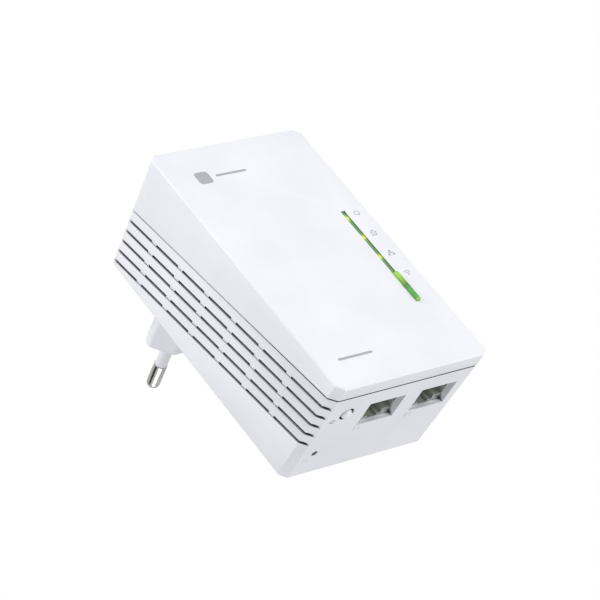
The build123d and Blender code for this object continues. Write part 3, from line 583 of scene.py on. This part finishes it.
def turned(profile, steps=64, closed=False):
    """A form spun round Z from (radius, height) pairs, which close on the axis or on themselves."""
    bm = bmesh.new()
    verts = [bm.verts.new((radius, 0, height)) for radius, height in profile]
    ends = verts[1:] + verts[:1] if closed else verts[1:]
    edges = [bm.edges.new(pair) for pair in zip(verts, ends)]
    bmesh.ops.spin(
        bm,
        geom=verts + edges,
        cent=(0, 0, 0),
        axis=(0, 0, 1),
        angle=math.tau,
        steps=steps,
        use_merge=True,
    )
    bmesh.ops.remove_doubles(bm, verts=bm.verts, dist=1e-7)
    bmesh.ops.recalc_face_normals(bm, faces=bm.faces)
    return bm


def quarter(radius, height, rounding, first=0, last=90, steps=4):
    """Points of a rounded corner about a centre, from the first to the last angle in degrees."""
    points = []
    for step in range(steps + 1):
        angle = math.radians(first + (last - first) * step / steps)
        points.append((radius + rounding * math.cos(angle), height + rounding * math.sin(angle)))
    return points


button_low, button_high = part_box("pair_button")
button_x = (button_low.x + button_high.x) / 2
button_y = (button_low.y + button_high.y) / 2
button_height = button_high.z - button_low.z
flange_radius = (button_high.x - button_low.x) / 2
flange_bottom = 0.00354
flange_top = flange_bottom + 0.001
stem_radius = 0.0015
cap_radius = 0.0017
cap_round = 0.0013
crown = 0.00008
cap_flat = cap_radius - cap_round
cap_profile = [
    (0, 0),
    (cap_flat, crown),
    *quarter(cap_flat, cap_round + crown, cap_round, first=-80, last=0, steps=10),
    (cap_radius, flange_bottom),
    (flange_radius, flange_bottom),
    (flange_radius, flange_top),
    (stem_radius, flange_top),
    (stem_radius, button_height),
    (0, button_height),
]
pair_cap = turned(cap_profile)
bmesh.ops.translate(pair_cap, vec=(button_x, button_y, button_low.z), verts=pair_cap.verts)
finish_mesh(
    "pair_cap", pair_cap, gloss_white, "pair_key", ["pair_button"], smooth_below=35
)

# ---------------------------------------------------------------- Signs on the port end
# Small raised signs in the casing's own white plastic: a turning arrow by the reset hole and a
# socket sign at each network opening. The linking sign by the pair button is inked grey.

# The port end rises by 5.4 mm over the casing's depth of 40 mm, towards the back.
port_slope = math.atan2(5.4, 40.0)


def on_port_end(bm, x_mm, depth_mm):
    """Turns a sheet onto the slanting port end, seen from below, measured from the cover's face."""
    bmesh.ops.recalc_face_normals(bm, faces=bm.faces)
    depth = depth_mm * millimetre
    height = port_end_z + math.tan(port_slope) * depth
    place = Matrix.Translation((x_mm * millimetre, cover_low.y + depth, height))
    downward = Matrix.Rotation(2 * quarter_turn + port_slope, 4, "X")
    bmesh.ops.transform(
        bm, matrix=place @ downward @ Matrix.Scale(millimetre, 4), verts=bm.verts
    )


relief_mm = 0.24
link_stroke_mm = 0.28
arrow_stroke_mm = 0.25
socket_stroke_mm = 0.22


def linking_sign(bm):
    """Two arcs, one inside the other."""
    flat_arc(bm, (0, 0), 0.85, link_stroke_mm, relief_mm, 20, 200, steps=12)
    flat_arc(bm, (0, 0), 0.4, link_stroke_mm, relief_mm, 200, 380, steps=10)


def turning_sign(bm):
    """An open ring that ends in a barb."""
    flat_arc(bm, (0, 0), 0.8, arrow_stroke_mm, relief_mm, 60, 340, steps=14)
    flat_bar(bm, (0.75, -0.3), (1.05, 0.2), arrow_stroke_mm, relief_mm)


def socket_sign(bm):
    """A plain box."""
    for start, end in (
        ((-0.9, -0.6), (0.9, -0.6)),
        ((-0.9, 0.6), (0.9, 0.6)),
        ((-0.9, -0.6), (-0.9, 0.6)),
        ((0.9, -0.6), (0.9, 0.6)),
    ):
        flat_bar(bm, start, end, socket_stroke_mm, relief_mm)


for port_sign_name, draw_port_sign, x_mm, depth_mm, material in (
    ("linking_sign", linking_sign, -21.2, 15.2, printed_grey),
    ("turning_sign", turning_sign, -21.6, 32.3, casing_white),
    ("socket_sign_left", socket_sign, -9.0, 21.8, casing_white),
    ("socket_sign_right", socket_sign, 9.6, 21.8, casing_white),
):
    port_sign = bmesh.new()
    draw_port_sign(port_sign)
    on_port_end(port_sign, x_mm, depth_mm)
    finish_mesh(port_sign_name, port_sign, material, "casing")

# ---------------------------------------------------------------- Network sockets
# Each is a grey PBT body with a tinned front rim, and eight gold-plated phosphor-bronze contacts
# that slope into its opening on the cover's side. The latch notch is towards the plug.


def plated_metal(name, light, shade, roughness, streak_mm, along=(1, 1, 1)):
    """Plated or drawn metal: fine streaks, longest where along is least, vary tint and gloss."""
    material, shader = new_material(name, Metallic=1.0)
    place = add_node(material, "TexCoord").outputs["Object"]
    stretch = add_node(material, "Mapping", {"Vector": place}, {"Scale": along})
    streaks = add_node(
        material,
        "TexNoise",
        {"Vector": stretch.outputs[0]},
        {"Scale": 1000 / streak_mm, "Detail": 2.0},
    )
    tint = add_node(material, "ValToRGB", {"Fac": streaks.outputs["Fac"]})
    colour_steps(tint, [(0.35, shade), (0.65, light)])
    gloss = add_node(
        material,
        "MapRange",
        {"Value": streaks.outputs["Fac"]},
        {"To Min": roughness * 0.7, "To Max": roughness * 1.3},
    )
    link(material, tint.outputs["Color"], shader.inputs["Base Color"])
    link(material, gloss.outputs["Result"], shader.inputs["Roughness"])
    return material


# A dull warm grey that turns dark in the socket's own shade.
socket_grey = moulded_plastic("moulded_grey_PBT", "A9ADA5", "9DA199", 0.3, roughness=0.45)
# A thin gold flash, warm yellow with soft streaks down each contact.
gold_bronze = plated_metal(
    "gold_plated_bronze", "E2BE62", "C9A04A", 0.22, streak_mm=0.4, along=(1, 1, 0.1)
)
# Dull tin, which makes a pale line round the opening.
rim_tin = plated_metal("tinned_steel_rim", "D4D6D0", "C4C6C0", 0.32, streak_mm=0.5)
dress(gold_bronze, "lan_contacts_left", "lan_contacts_right", "header_pins")

# The rim is the part of the body that looks straight out of the port end.
rim_thickness = 0.0001
front_band = 0.00001
facing_plug = -0.9
for side in ("left", "right"):
    socket = f"lan_jack_{side}"
    dress(socket_grey, socket)
    front_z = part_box(socket)[0].z + front_band
    rim = merged_copy(socket)
    others = [
        face
        for face in rim.faces
        if face.calc_center_median().z >= front_z or face.normal.z >= facing_plug
    ]
    bmesh.ops.delete(rim, geom=others, context="FACES")
    bmesh.ops.solidify(rim, geom=list(rim.faces), thickness=-rim_thickness)
    finish_mesh(f"socket_rim_{side}", rim, rim_tin, "casing")

# ---------------------------------------------------------------- Plug
# The boss is pushed out through the back of the housing and holds a plate with two turned brass
# pins, nickel plated at their bare ends, each with a moulded insulating sleeve.

# Bright plating mirrors the room, so each pin shows a white and a dark stripe along it.
bright_nickel = plated_metal(
    "bright_nickel_plate", "E9E7E2", "D9D7D2", 0.14, streak_mm=0.6, along=(1, 0.08, 1)
)
# The sleeve is a little greyer and duller than the casing.
sleeve_white = moulded_plastic("moulded_PBT_sleeve", "EDEDF1", "E3E3E9", 0.3, roughness=0.42)

boss = merged_copy("plug_boss")
finish_mesh(
    "boss_shell", boss, casing_white, "casing", ["plug_boss"], smooth_below=35
)
dress(casing_white, "pin_carrier")

pin_spacing = 0.019
pin_lean = math.radians(0.4)
pin_radius = 0.002
pin_root = -0.008
pin_end = 0.019
tip_round = 0.00185
core_radius = 0.0015
sleeve_radius = 0.0018
sleeve_bore = core_radius + 0.00002
sleeve_foot = 0.00005
sleeve_end = 0.010
sleeve_round = 0.0002
pin_profile = [
    (0, pin_root),
    (core_radius, pin_root),
    (core_radius, sleeve_end),
    (pin_radius, sleeve_end),
    *quarter(pin_radius - tip_round, pin_end - tip_round, tip_round, steps=10),
    (0, pin_end),
]
sleeve_profile = [
    (sleeve_bore, sleeve_foot),
    (sleeve_radius, sleeve_foot),
    *quarter(sleeve_radius - sleeve_round, sleeve_end - sleeve_round, sleeve_round),
    (sleeve_bore, sleeve_end),
]
for side, mirror in (("left", -1), ("right", 1)):
    foot = Matrix.Translation((mirror * pin_spacing / 2, 0, 0))
    stand = foot @ Matrix.Rotation(mirror * pin_lean, 4, "Z")
    stand = stand @ Matrix.Rotation(-quarter_turn, 4, "X")
    pin = turned(pin_profile)
    bmesh.ops.transform(pin, matrix=stand, verts=pin.verts)
    finish_mesh(
        f"nickel_pin_{side}",
        pin,
        bright_nickel,
        "casing",
        [f"plug_pin_{side}"],
        smooth_below=35,
    )
    sleeve = turned(sleeve_profile, closed=True)
    bmesh.ops.transform(sleeve, matrix=stand, verts=sleeve.verts)
    finish_mesh(
        f"sleeve_{side}",
        sleeve,
        sleeve_white,
        "casing",
        [f"pin_sleeve_{side}"],
        smooth_below=35,
    )

# Rolled brass strip, warm and satin with faint lines along the roll.
brass = plated_metal("stamped_brass", "C9A45A", "B08C45", 0.3, streak_mm=0.8, along=(1, 0.15, 1))
dress(brass, "mains_strap_left", "mains_strap_right")

# ---------------------------------------------------------------- Rating label
# A blank white polyester label, die-cut and stuck on the back below the plug. A thin frame is
# printed round it in the same grey ink as the marks.

# The coated film is a little greyer and duller than the casing round it.
label_white = moulded_plastic("white_polyester_label", "E9E9EC", "E2E2E6", 0.8, roughness=0.55)
dress(label_white, "rating_label")

label_low, label_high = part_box("rating_label")
frame_margin_mm = 1.6
frame_stroke_mm = 0.3
half_width = (label_high.x - label_low.x) / 2 / millimetre - frame_margin_mm
half_height = (label_high.z - label_low.z) / 2 / millimetre - frame_margin_mm
label_frame = bmesh.new()
for row in (-1, 1):
    across = (-half_width, row * half_height), (half_width, row * half_height)
    upward = (row * half_width, -half_height), (row * half_width, half_height)
    for start, end in (across, upward):
        flat_bar(label_frame, start, end, frame_stroke_mm, film_mm)
bmesh.ops.recalc_face_normals(label_frame, faces=label_frame.faces)
label_place = Matrix.Translation((0, label_high.y, (label_low.z + label_high.z) / 2))
face_back = Matrix.Rotation(2 * quarter_turn, 4, "Z") @ Matrix.Rotation(quarter_turn, 4, "X")
bmesh.ops.transform(
    label_frame,
    matrix=label_place @ face_back @ Matrix.Scale(millimetre, 4),
    verts=label_frame.verts,
)
finish_mesh("label_frame", label_frame, printed_grey, "casing")

# ---------------------------------------------------------------- Circuit boards and antennas
# Glass-fibre laminate under a glossy green solder mask; copper tracks show through it as paler
# lines and the plated holes as small bright dots.

track_cell_mm = 7.7
hole_pitch_mm = 4.0
green_board, board_shader = new_material("green_solder_mask_on_FR4", Roughness=0.32, IOR=1.5)
board_place = add_node(green_board, "TexCoord").outputs["Object"]
board_turn = add_node(
    green_board, "Mapping", {"Vector": board_place}, {"Rotation": (quarter_turn, 0, 0)}
)
tracks = add_node(
    green_board,
    "TexBrick",
    {"Vector": board_turn.outputs[0]},
    {
        "Color1": linear("0F4A27"),
        "Color2": linear("125530"),
        "Mortar": linear("2A7A45"),
        "Scale": 1000 / track_cell_mm,
        "Mortar Size": 0.035,
    },
)
holes = add_node(
    green_board, "TexVoronoi", {"Vector": board_place}, {"Scale": 1000 / hole_pitch_mm}
)
hole_dots = add_node(green_board, "ValToRGB", {"Fac": holes.outputs["Distance"]})
colour_steps(hole_dots, [(0.09, "FFFFFF"), (0.12, "000000")])
# A colour Mix takes its factor on socket 0 and its colours on sockets 6 and 7.
board_mix = add_node(
    green_board,
    "Mix",
    {0: hole_dots.outputs["Color"], 6: tracks.outputs["Color"]},
    {7: linear("C8B060")},
    data_type="RGBA",
)
link(green_board, board_mix.outputs[2], board_shader.inputs["Base Color"])
dress(green_board, "main_board", "power_board", "antenna_left", "antenna_right")

# Zinc plate is a pale blue-grey with a soft gloss.
zinc_steel = plated_metal("zinc_plated_steel", "B9BCBE", "A2A5A8", 0.34, streak_mm=0.5)
dress(zinc_steel, "main_board_screws", "power_board_screws")

# ---------------------------------------------------------------- Chips, switches and connectors
# Epoxy-moulded chips with a fine matt grain, nylon connectors and switch bodies, and a tinned
# steel can over the wireless chip.

# The chips' matt grain keeps them charcoal, and nylon is a little smoother, so its edges shine.
black_epoxy = moulded_plastic("black_epoxy_moulding", "1C1C1E", "131315", 0.25, roughness=0.6)
black_nylon = moulded_plastic("black_nylon", "212123", "18181A", 0.3, roughness=0.5)
plunger_grey = moulded_plastic("grey_nylon_plunger", "4A4B4E", "404144", 0.3, roughness=0.45)
# Hot-dipped tin is bright but blurred, with long drawn streaks.
tin_can = plated_metal(
    "tinned_steel_can", "C6C7C4", "B4B5B2", 0.3, streak_mm=0.7, along=(1, 1, 0.2)
)
dress(
    black_epoxy,
    "bridge_rectifier",
    "switching_chip",
    "optocoupler",
    "lan_magnetics",
    "plc_chip",
    "wifi_chip",
    "memory_chip",
    "flash_chip",
    "coupling_transformer",
)
dress(black_nylon, "header_strip", "header_socket", "transformer_bobbin")
dress(black_nylon, "wifi_switch_body", "pair_switch_body", "reset_switch_body")
dress(plunger_grey, "wifi_switch_plunger", "pair_switch_plunger", "reset_switch_plunger")
dress(tin_can, "wifi_shield", "crystals")

# Clear epoxy over a lit die, bright yellow-green and a little uneven.
light_cloud_mm = 0.4
light_epoxy, light_shader = new_material(
    "clear_epoxy_light", Roughness=0.2, IOR=1.5, Emission_Strength=1.5
)
light_place = add_node(light_epoxy, "TexCoord").outputs["Object"]
light_cloud = add_node(
    light_epoxy, "TexNoise", {"Vector": light_place}, {"Scale": 1000 / light_cloud_mm}
)
light_tint = add_node(light_epoxy, "ValToRGB", {"Fac": light_cloud.outputs["Fac"]})
colour_steps(light_tint, [(0.4, "C6E86A"), (0.6, "E4F29A")])
link(light_epoxy, light_tint.outputs["Color"], light_shader.inputs["Base Color"])
link(light_epoxy, light_tint.outputs["Color"], light_shader.inputs["Emission Color"])
dress(light_epoxy, "status_lights")

# ---------------------------------------------------------------- Heat sink
# Extruded aluminium, cut to length. The die leaves fine lines along its fins, which draw the
# highlights out into streaks.

extruded_aluminium = plated_metal(
    "extruded_aluminium", "C3C5C8", "ABADB1", 0.36, streak_mm=0.35, along=(1, 1, 0.03)
)
dress(extruded_aluminium, "heat_sink")

# ---------------------------------------------------------------- Capacitors, fuse and varistor
# Aluminium cans in dark shrink sleeve with bare scored ends, a yellow moulded film capacitor,
# lacquer-dipped discs, and a fuse in brown shrink sleeve.

# Shrink sleeve pulls tight and glossy, and the bare metal above it stays soft and silvery.
dark_sleeve = moulded_plastic("dark_PVC_shrink_sleeve", "23262E", "1B1E25", 0.6, roughness=0.28)
bare_aluminium = plated_metal("drawn_aluminium_can", "CDCFD1", "B8BABC", 0.3, streak_mm=0.4)
fuse_sleeve = moulded_plastic("brown_shrink_sleeve", "8A6A40", "7A5C36", 0.5, roughness=0.4)
# The film capacitor's case is satin, and dipped lacquer has a wet gloss with slow ripples.
yellow_case = moulded_plastic("yellow_polyester_case", "D9A52A", "CC9820", 0.4, roughness=0.42)
blue_lacquer = moulded_plastic("blue_dipped_lacquer", "2B4E8C", "234279", 0.9, roughness=0.3)
dress(yellow_case, "x_capacitor")
dress(blue_lacquer, "varistor", "y_capacitor")
dress(fuse_sleeve, "fuse")

# The foot and the crimp above it, each point as a share of the radius and a height.
foot_and_crimp = (
    (0.86, 0),
    (0.97, 0.0003),
    (1, 0.0008),
    (1, 0.0016),
    (0.9, 0.0021),
    (1, 0.0026),
)
rim_round = 0.0004
end_sink = 0.0001
end_band = 0.00022
bare_share = 0.8
bare_reach_share = 0.82
score_length_share = 1.1
score_width_share = 0.09


def capacitor(name, radius, length, base, upright, node_names=()):
    """A can in its sleeve: crimped groove near the foot, and a bare end scored with a cross."""
    profile = [
        (0, 0),
        *((radius * share, height) for share, height in foot_and_crimp),
        *quarter(radius - rim_round, length - rim_round, rim_round),
        (radius * bare_share, length),
        (radius * bare_share, length - end_sink),
        (0, length - end_sink),
    ]
    can = turned(profile, steps=48)
    for angle in (0, quarter_turn):
        score = bmesh.ops.create_cube(can, size=1)["verts"]
        score_size = (radius * score_length_share, radius * score_width_share, end_sink)
        bmesh.ops.scale(can, vec=score_size, verts=score)
        turn = Matrix.Rotation(angle, 3, "Z")
        bmesh.ops.rotate(can, cent=(0, 0, 0), matrix=turn, verts=score)
        bmesh.ops.translate(can, vec=(0, 0, length - end_sink), verts=score)
    if upright:
        turn = Matrix.Rotation(quarter_turn, 3, "X")
        bmesh.ops.rotate(can, cent=(0, 0, 0), matrix=turn, verts=can.verts)
    bmesh.ops.translate(can, vec=base, verts=can.verts)
    piece = finish_mesh(
        name, can, dark_sleeve, "casing", node_names, smooth_below=35
    )
    piece.data.materials.append(bare_aluminium)
    axis = Vector((0, -1, 0)) if upright else Vector((0, 0, 1))
    for polygon in piece.data.polygons:
        along = Vector(polygon.center) - Vector(base)
        off_axis = along.cross(axis).length
        if along.dot(axis) > length - end_band and off_axis < radius * bare_reach_share:
            polygon.material_index = 1
    return piece


bulk_low, bulk_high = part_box("bulk_capacitors")
bulk_radius = (bulk_high.y - bulk_low.y) / 2
bulk_length = bulk_high.z - bulk_low.z
bulk_y = (bulk_low.y + bulk_high.y) / 2
bulk_cans = [
    capacitor(f"bulk_can_{side}", bulk_radius, bulk_length, (x, bulk_y, bulk_low.z), upright=False)
    for side, x in (("left", bulk_low.x + bulk_radius), ("right", bulk_high.x - bulk_radius))
]
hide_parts("bulk_capacitors")

output_low, output_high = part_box("output_capacitor")
output_x = (output_low.x + output_high.x) / 2
output_z = (output_low.z + output_high.z) / 2
capacitor(
    "output_can",
    (output_high.x - output_low.x) / 2,
    output_high.y - output_low.y,
    (output_x, output_high.y, output_z),
    upright=True,
    node_names=["output_capacitor"],
)

can_low, can_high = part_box("board_capacitors")
can_radius = 0.00315
can_step = 0.009
low_x, low_z = can_low.x + can_radius, can_low.z + can_radius
board_cans = [
    capacitor(
        f"board_can_{number}",
        can_radius,
        can_high.y - can_low.y,
        (x, can_high.y, z),
        upright=True,
    )
    for number, (x, z) in enumerate(
        (
            (low_x, low_z),
            (low_x, low_z + can_step),
            (can_high.x - can_radius, can_high.z - can_radius),
        )
    )
]
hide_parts("board_capacitors")

# ---------------------------------------------------------------- Coils and cores
# Pressed and sintered ferrite cores under close turns of lacquered copper wire. The ferrite is
# dark, with a slight sparkle painted in as paler dots where its grains would catch the light.

ferrite_grain_mm = 0.25
ferrite, ferrite_shader = new_material("sintered_ferrite", Roughness=0.55, IOR=2.0)
ferrite_place = add_node(ferrite, "TexCoord").outputs["Object"]
ferrite_grain = add_node(
    ferrite, "TexVoronoi", {"Vector": ferrite_place}, {"Scale": 1000 / ferrite_grain_mm}
)
# Painted glints: paler at the centre of each grain, darker between.
ferrite_tint_and_glints = add_node(ferrite, "ValToRGB", {"Fac": ferrite_grain.outputs["Distance"]})
colour_steps(ferrite_tint_and_glints, [(0.1, "3A3A3D"), (0.6, "242427")])
link(ferrite, ferrite_tint_and_glints.outputs["Color"], ferrite_shader.inputs["Base Color"])
dress(ferrite, "choke_core", "transformer_core", "power_inductors")

# The lacquer keeps the copper bright, and shade between turns is painted in as a dark line. The
# 0.35 mm wire is drawn 2.2 mm wide so that its turns show. A wave texture runs through 20 radians
# in each unit.
drawn_turn_mm = 2.21
wave_radians = 20
copper_wire, wire_shader = new_material("lacquered_copper_wire", Roughness=0.3, Metallic=1.0)
wire_place = add_node(copper_wire, "TexCoord").outputs["Object"]
turns = add_node(
    copper_wire,
    "TexWave",
    {"Vector": wire_place},
    {"Scale": 1000 * math.tau / wave_radians / drawn_turn_mm, "Distortion": 0.3},
    bands_direction="Y",
)
# Copper colour, with painted shade at the trough of each wave between turns.
wire_colour_and_crease_shade = add_node(copper_wire, "ValToRGB", {"Fac": turns.outputs["Fac"]})
colour_steps(wire_colour_and_crease_shade, [(0.0, "5A2A12"), (0.5, "B5683A"), (1.0, "C87A48")])
wire_bump = add_node(
    copper_wire, "Bump", {"Height": turns.outputs["Fac"]}, {"Strength": 0.8, "Distance": 0.00015}
)
link(copper_wire, wire_colour_and_crease_shade.outputs["Color"], wire_shader.inputs["Base Color"])
link(copper_wire, wire_bump.outputs["Normal"], wire_shader.inputs["Normal"])
dress(copper_wire, "choke_windings", "transformer_winding")

# ---------------------------------------------------------------- Studio
# A pale floor well below the hanging adapter, a white surround and four large soft lights: high on
# the left, low on the right, in front, and a weaker one low behind that the pins mirror. A black
# card beside them draws the dark stripe down each pin.

centre = (cad_box[0] + cad_box[1]) / 2
floor_reach = 30.0
floor_drop = 0.9
clouds_per_metre = 3.0


def stage_sheet(name, bm, material):
    """Makes a flat bmesh into a studio sheet, hung on no body of the adapter, that diffuse bounces
    don't see.
    """
    mesh = bpy.data.meshes.new(name)
    bm.to_mesh(mesh)
    bm.free()
    mesh.materials.append(material)
    sheet = bpy.data.objects.new(name, mesh)
    bpy.context.scene.collection.objects.link(sheet)
    sheet.visible_diffuse = False
    return sheet


# Matt floor paint with a faint glow of its own, as if lit evenly from above.
floor_paint, floor_shader = new_material(
    "pale_floor_paint", Roughness=0.7, Emission_Strength=0.32
)
floor_place = add_node(floor_paint, "TexCoord").outputs["Object"]
floor_cloud = add_node(
    floor_paint, "TexNoise", {"Vector": floor_place}, {"Scale": clouds_per_metre}
)
floor_tint = add_node(floor_paint, "ValToRGB", {"Fac": floor_cloud.outputs["Fac"]})
colour_steps(floor_tint, [(0.3, "F4F4F6"), (0.7, "F8F8FA")])
link(floor_paint, floor_tint.outputs["Color"], floor_shader.inputs["Base Color"])
link(floor_paint, floor_tint.outputs["Color"], floor_shader.inputs["Emission Color"])

floor_grid = bmesh.new()
bmesh.ops.create_grid(floor_grid, x_segments=2, y_segments=2, size=floor_reach)
bmesh.ops.translate(floor_grid, vec=(0, 0, -floor_drop), verts=floor_grid.verts)
floor = stage_sheet("floor", floor_grid, floor_paint)
floor.visible_glossy = False


def soft_light(name, direction, distance, size, power):
    """A square soft box that faces the adapter from a direction."""
    lamp = bpy.data.lights.new(name, "AREA")
    lamp.shape = "SQUARE"
    lamp.size = size
    lamp.energy = power
    soft_box = bpy.data.objects.new(name, lamp)
    away = Vector(direction).normalized()
    soft_box.location = centre + away * distance
    soft_box.rotation_euler = away.to_track_quat("Z", "Y").to_euler()
    bpy.context.scene.collection.objects.link(soft_box)


soft_light("high_left_light", (-0.75, -0.15, 0.65), distance=1.0, size=0.7, power=5.4)
soft_light("low_right_light", (0.45, -0.45, -0.75), distance=1.0, size=0.7, power=4.3)
soft_light("front_light", (0.1, -1.0, 0.2), distance=1.1, size=0.8, power=4.0)
soft_light("low_rear_light", (-0.3, 0.6, -0.7), distance=1.0, size=0.7, power=2.0)

card_distance = 0.6
card_way = Vector((-0.68, 0.61, 0.34)).normalized()
card_turn = card_way.to_track_quat("Z", "Y").to_matrix().to_4x4()
card_size = Matrix.Diagonal((0.16, 0.5, 1, 1))
card_place = Matrix.Translation(centre + card_way * card_distance)
card_grid = bmesh.new()
bmesh.ops.create_grid(card_grid, x_segments=1, y_segments=1, size=0.5)
bmesh.ops.transform(
    card_grid, matrix=card_place @ card_turn @ card_size, verts=card_grid.verts
)
card_black = moulded_plastic("black_card_board", "0A0A0B", "060607", 2.0, roughness=0.9)
card = stage_sheet("black_card", card_grid, card_black)
card.visible_camera = False

# The surround lights the adapter at half strength, and the camera sees it as plain white.
world = bpy.data.worlds.new("white_surround")
bpy.context.scene.world = world
world.use_nodes = True
surround = world.node_tree.nodes["Background"]
surround.inputs["Color"].default_value = (0.96, 0.97, 1.0, 1.0)
surround.inputs["Strength"].default_value = 0.55
seen = add_node(world, "Background", settings={"Color": (1.0, 1.0, 1.0, 1.0)})
path = add_node(world, "LightPath")
choose = add_node(
    world,
    "MixShader",
    {0: path.outputs["Is Camera Ray"], 1: surround.outputs[0], 2: seen.outputs[0]},
)
link(world, choose.outputs[0], world.node_tree.nodes["World Output"].inputs["Surface"])
bpy.context.scene.view_settings.view_transform = "Standard"

# ---------------------------------------------------------------- Camera
# Below and to the left of the adapter, looking up at its port end with a long lens, rolled so that
# the cover leans to the right.

camera_target = Vector((0.0015, -0.0395, -0.0277))
camera_distance = 0.816
focal_length_mm = 176.84
sensor_width_mm = 36.0
nearest_seen = 0.01
camera_right = Vector((0.76190, -0.33486, -0.55442)).normalized()
camera_forward = Vector((0.62278, 0.61388, 0.48509)).normalized()
camera_up = camera_right.cross(camera_forward)
lens = bpy.data.cameras.new("camera")
lens.lens = focal_length_mm
lens.sensor_width = sensor_width_mm
lens.clip_start = nearest_seen
camera = bpy.data.objects.new("camera", lens)
facing = Matrix((camera_right, camera_up, -camera_forward)).transposed().to_4x4()
standpoint = camera_target - camera_forward * camera_distance
camera.matrix_world = Matrix.Translation(standpoint) @ facing
bpy.context.scene.collection.objects.link(camera)
bpy.context.scene.camera = camera
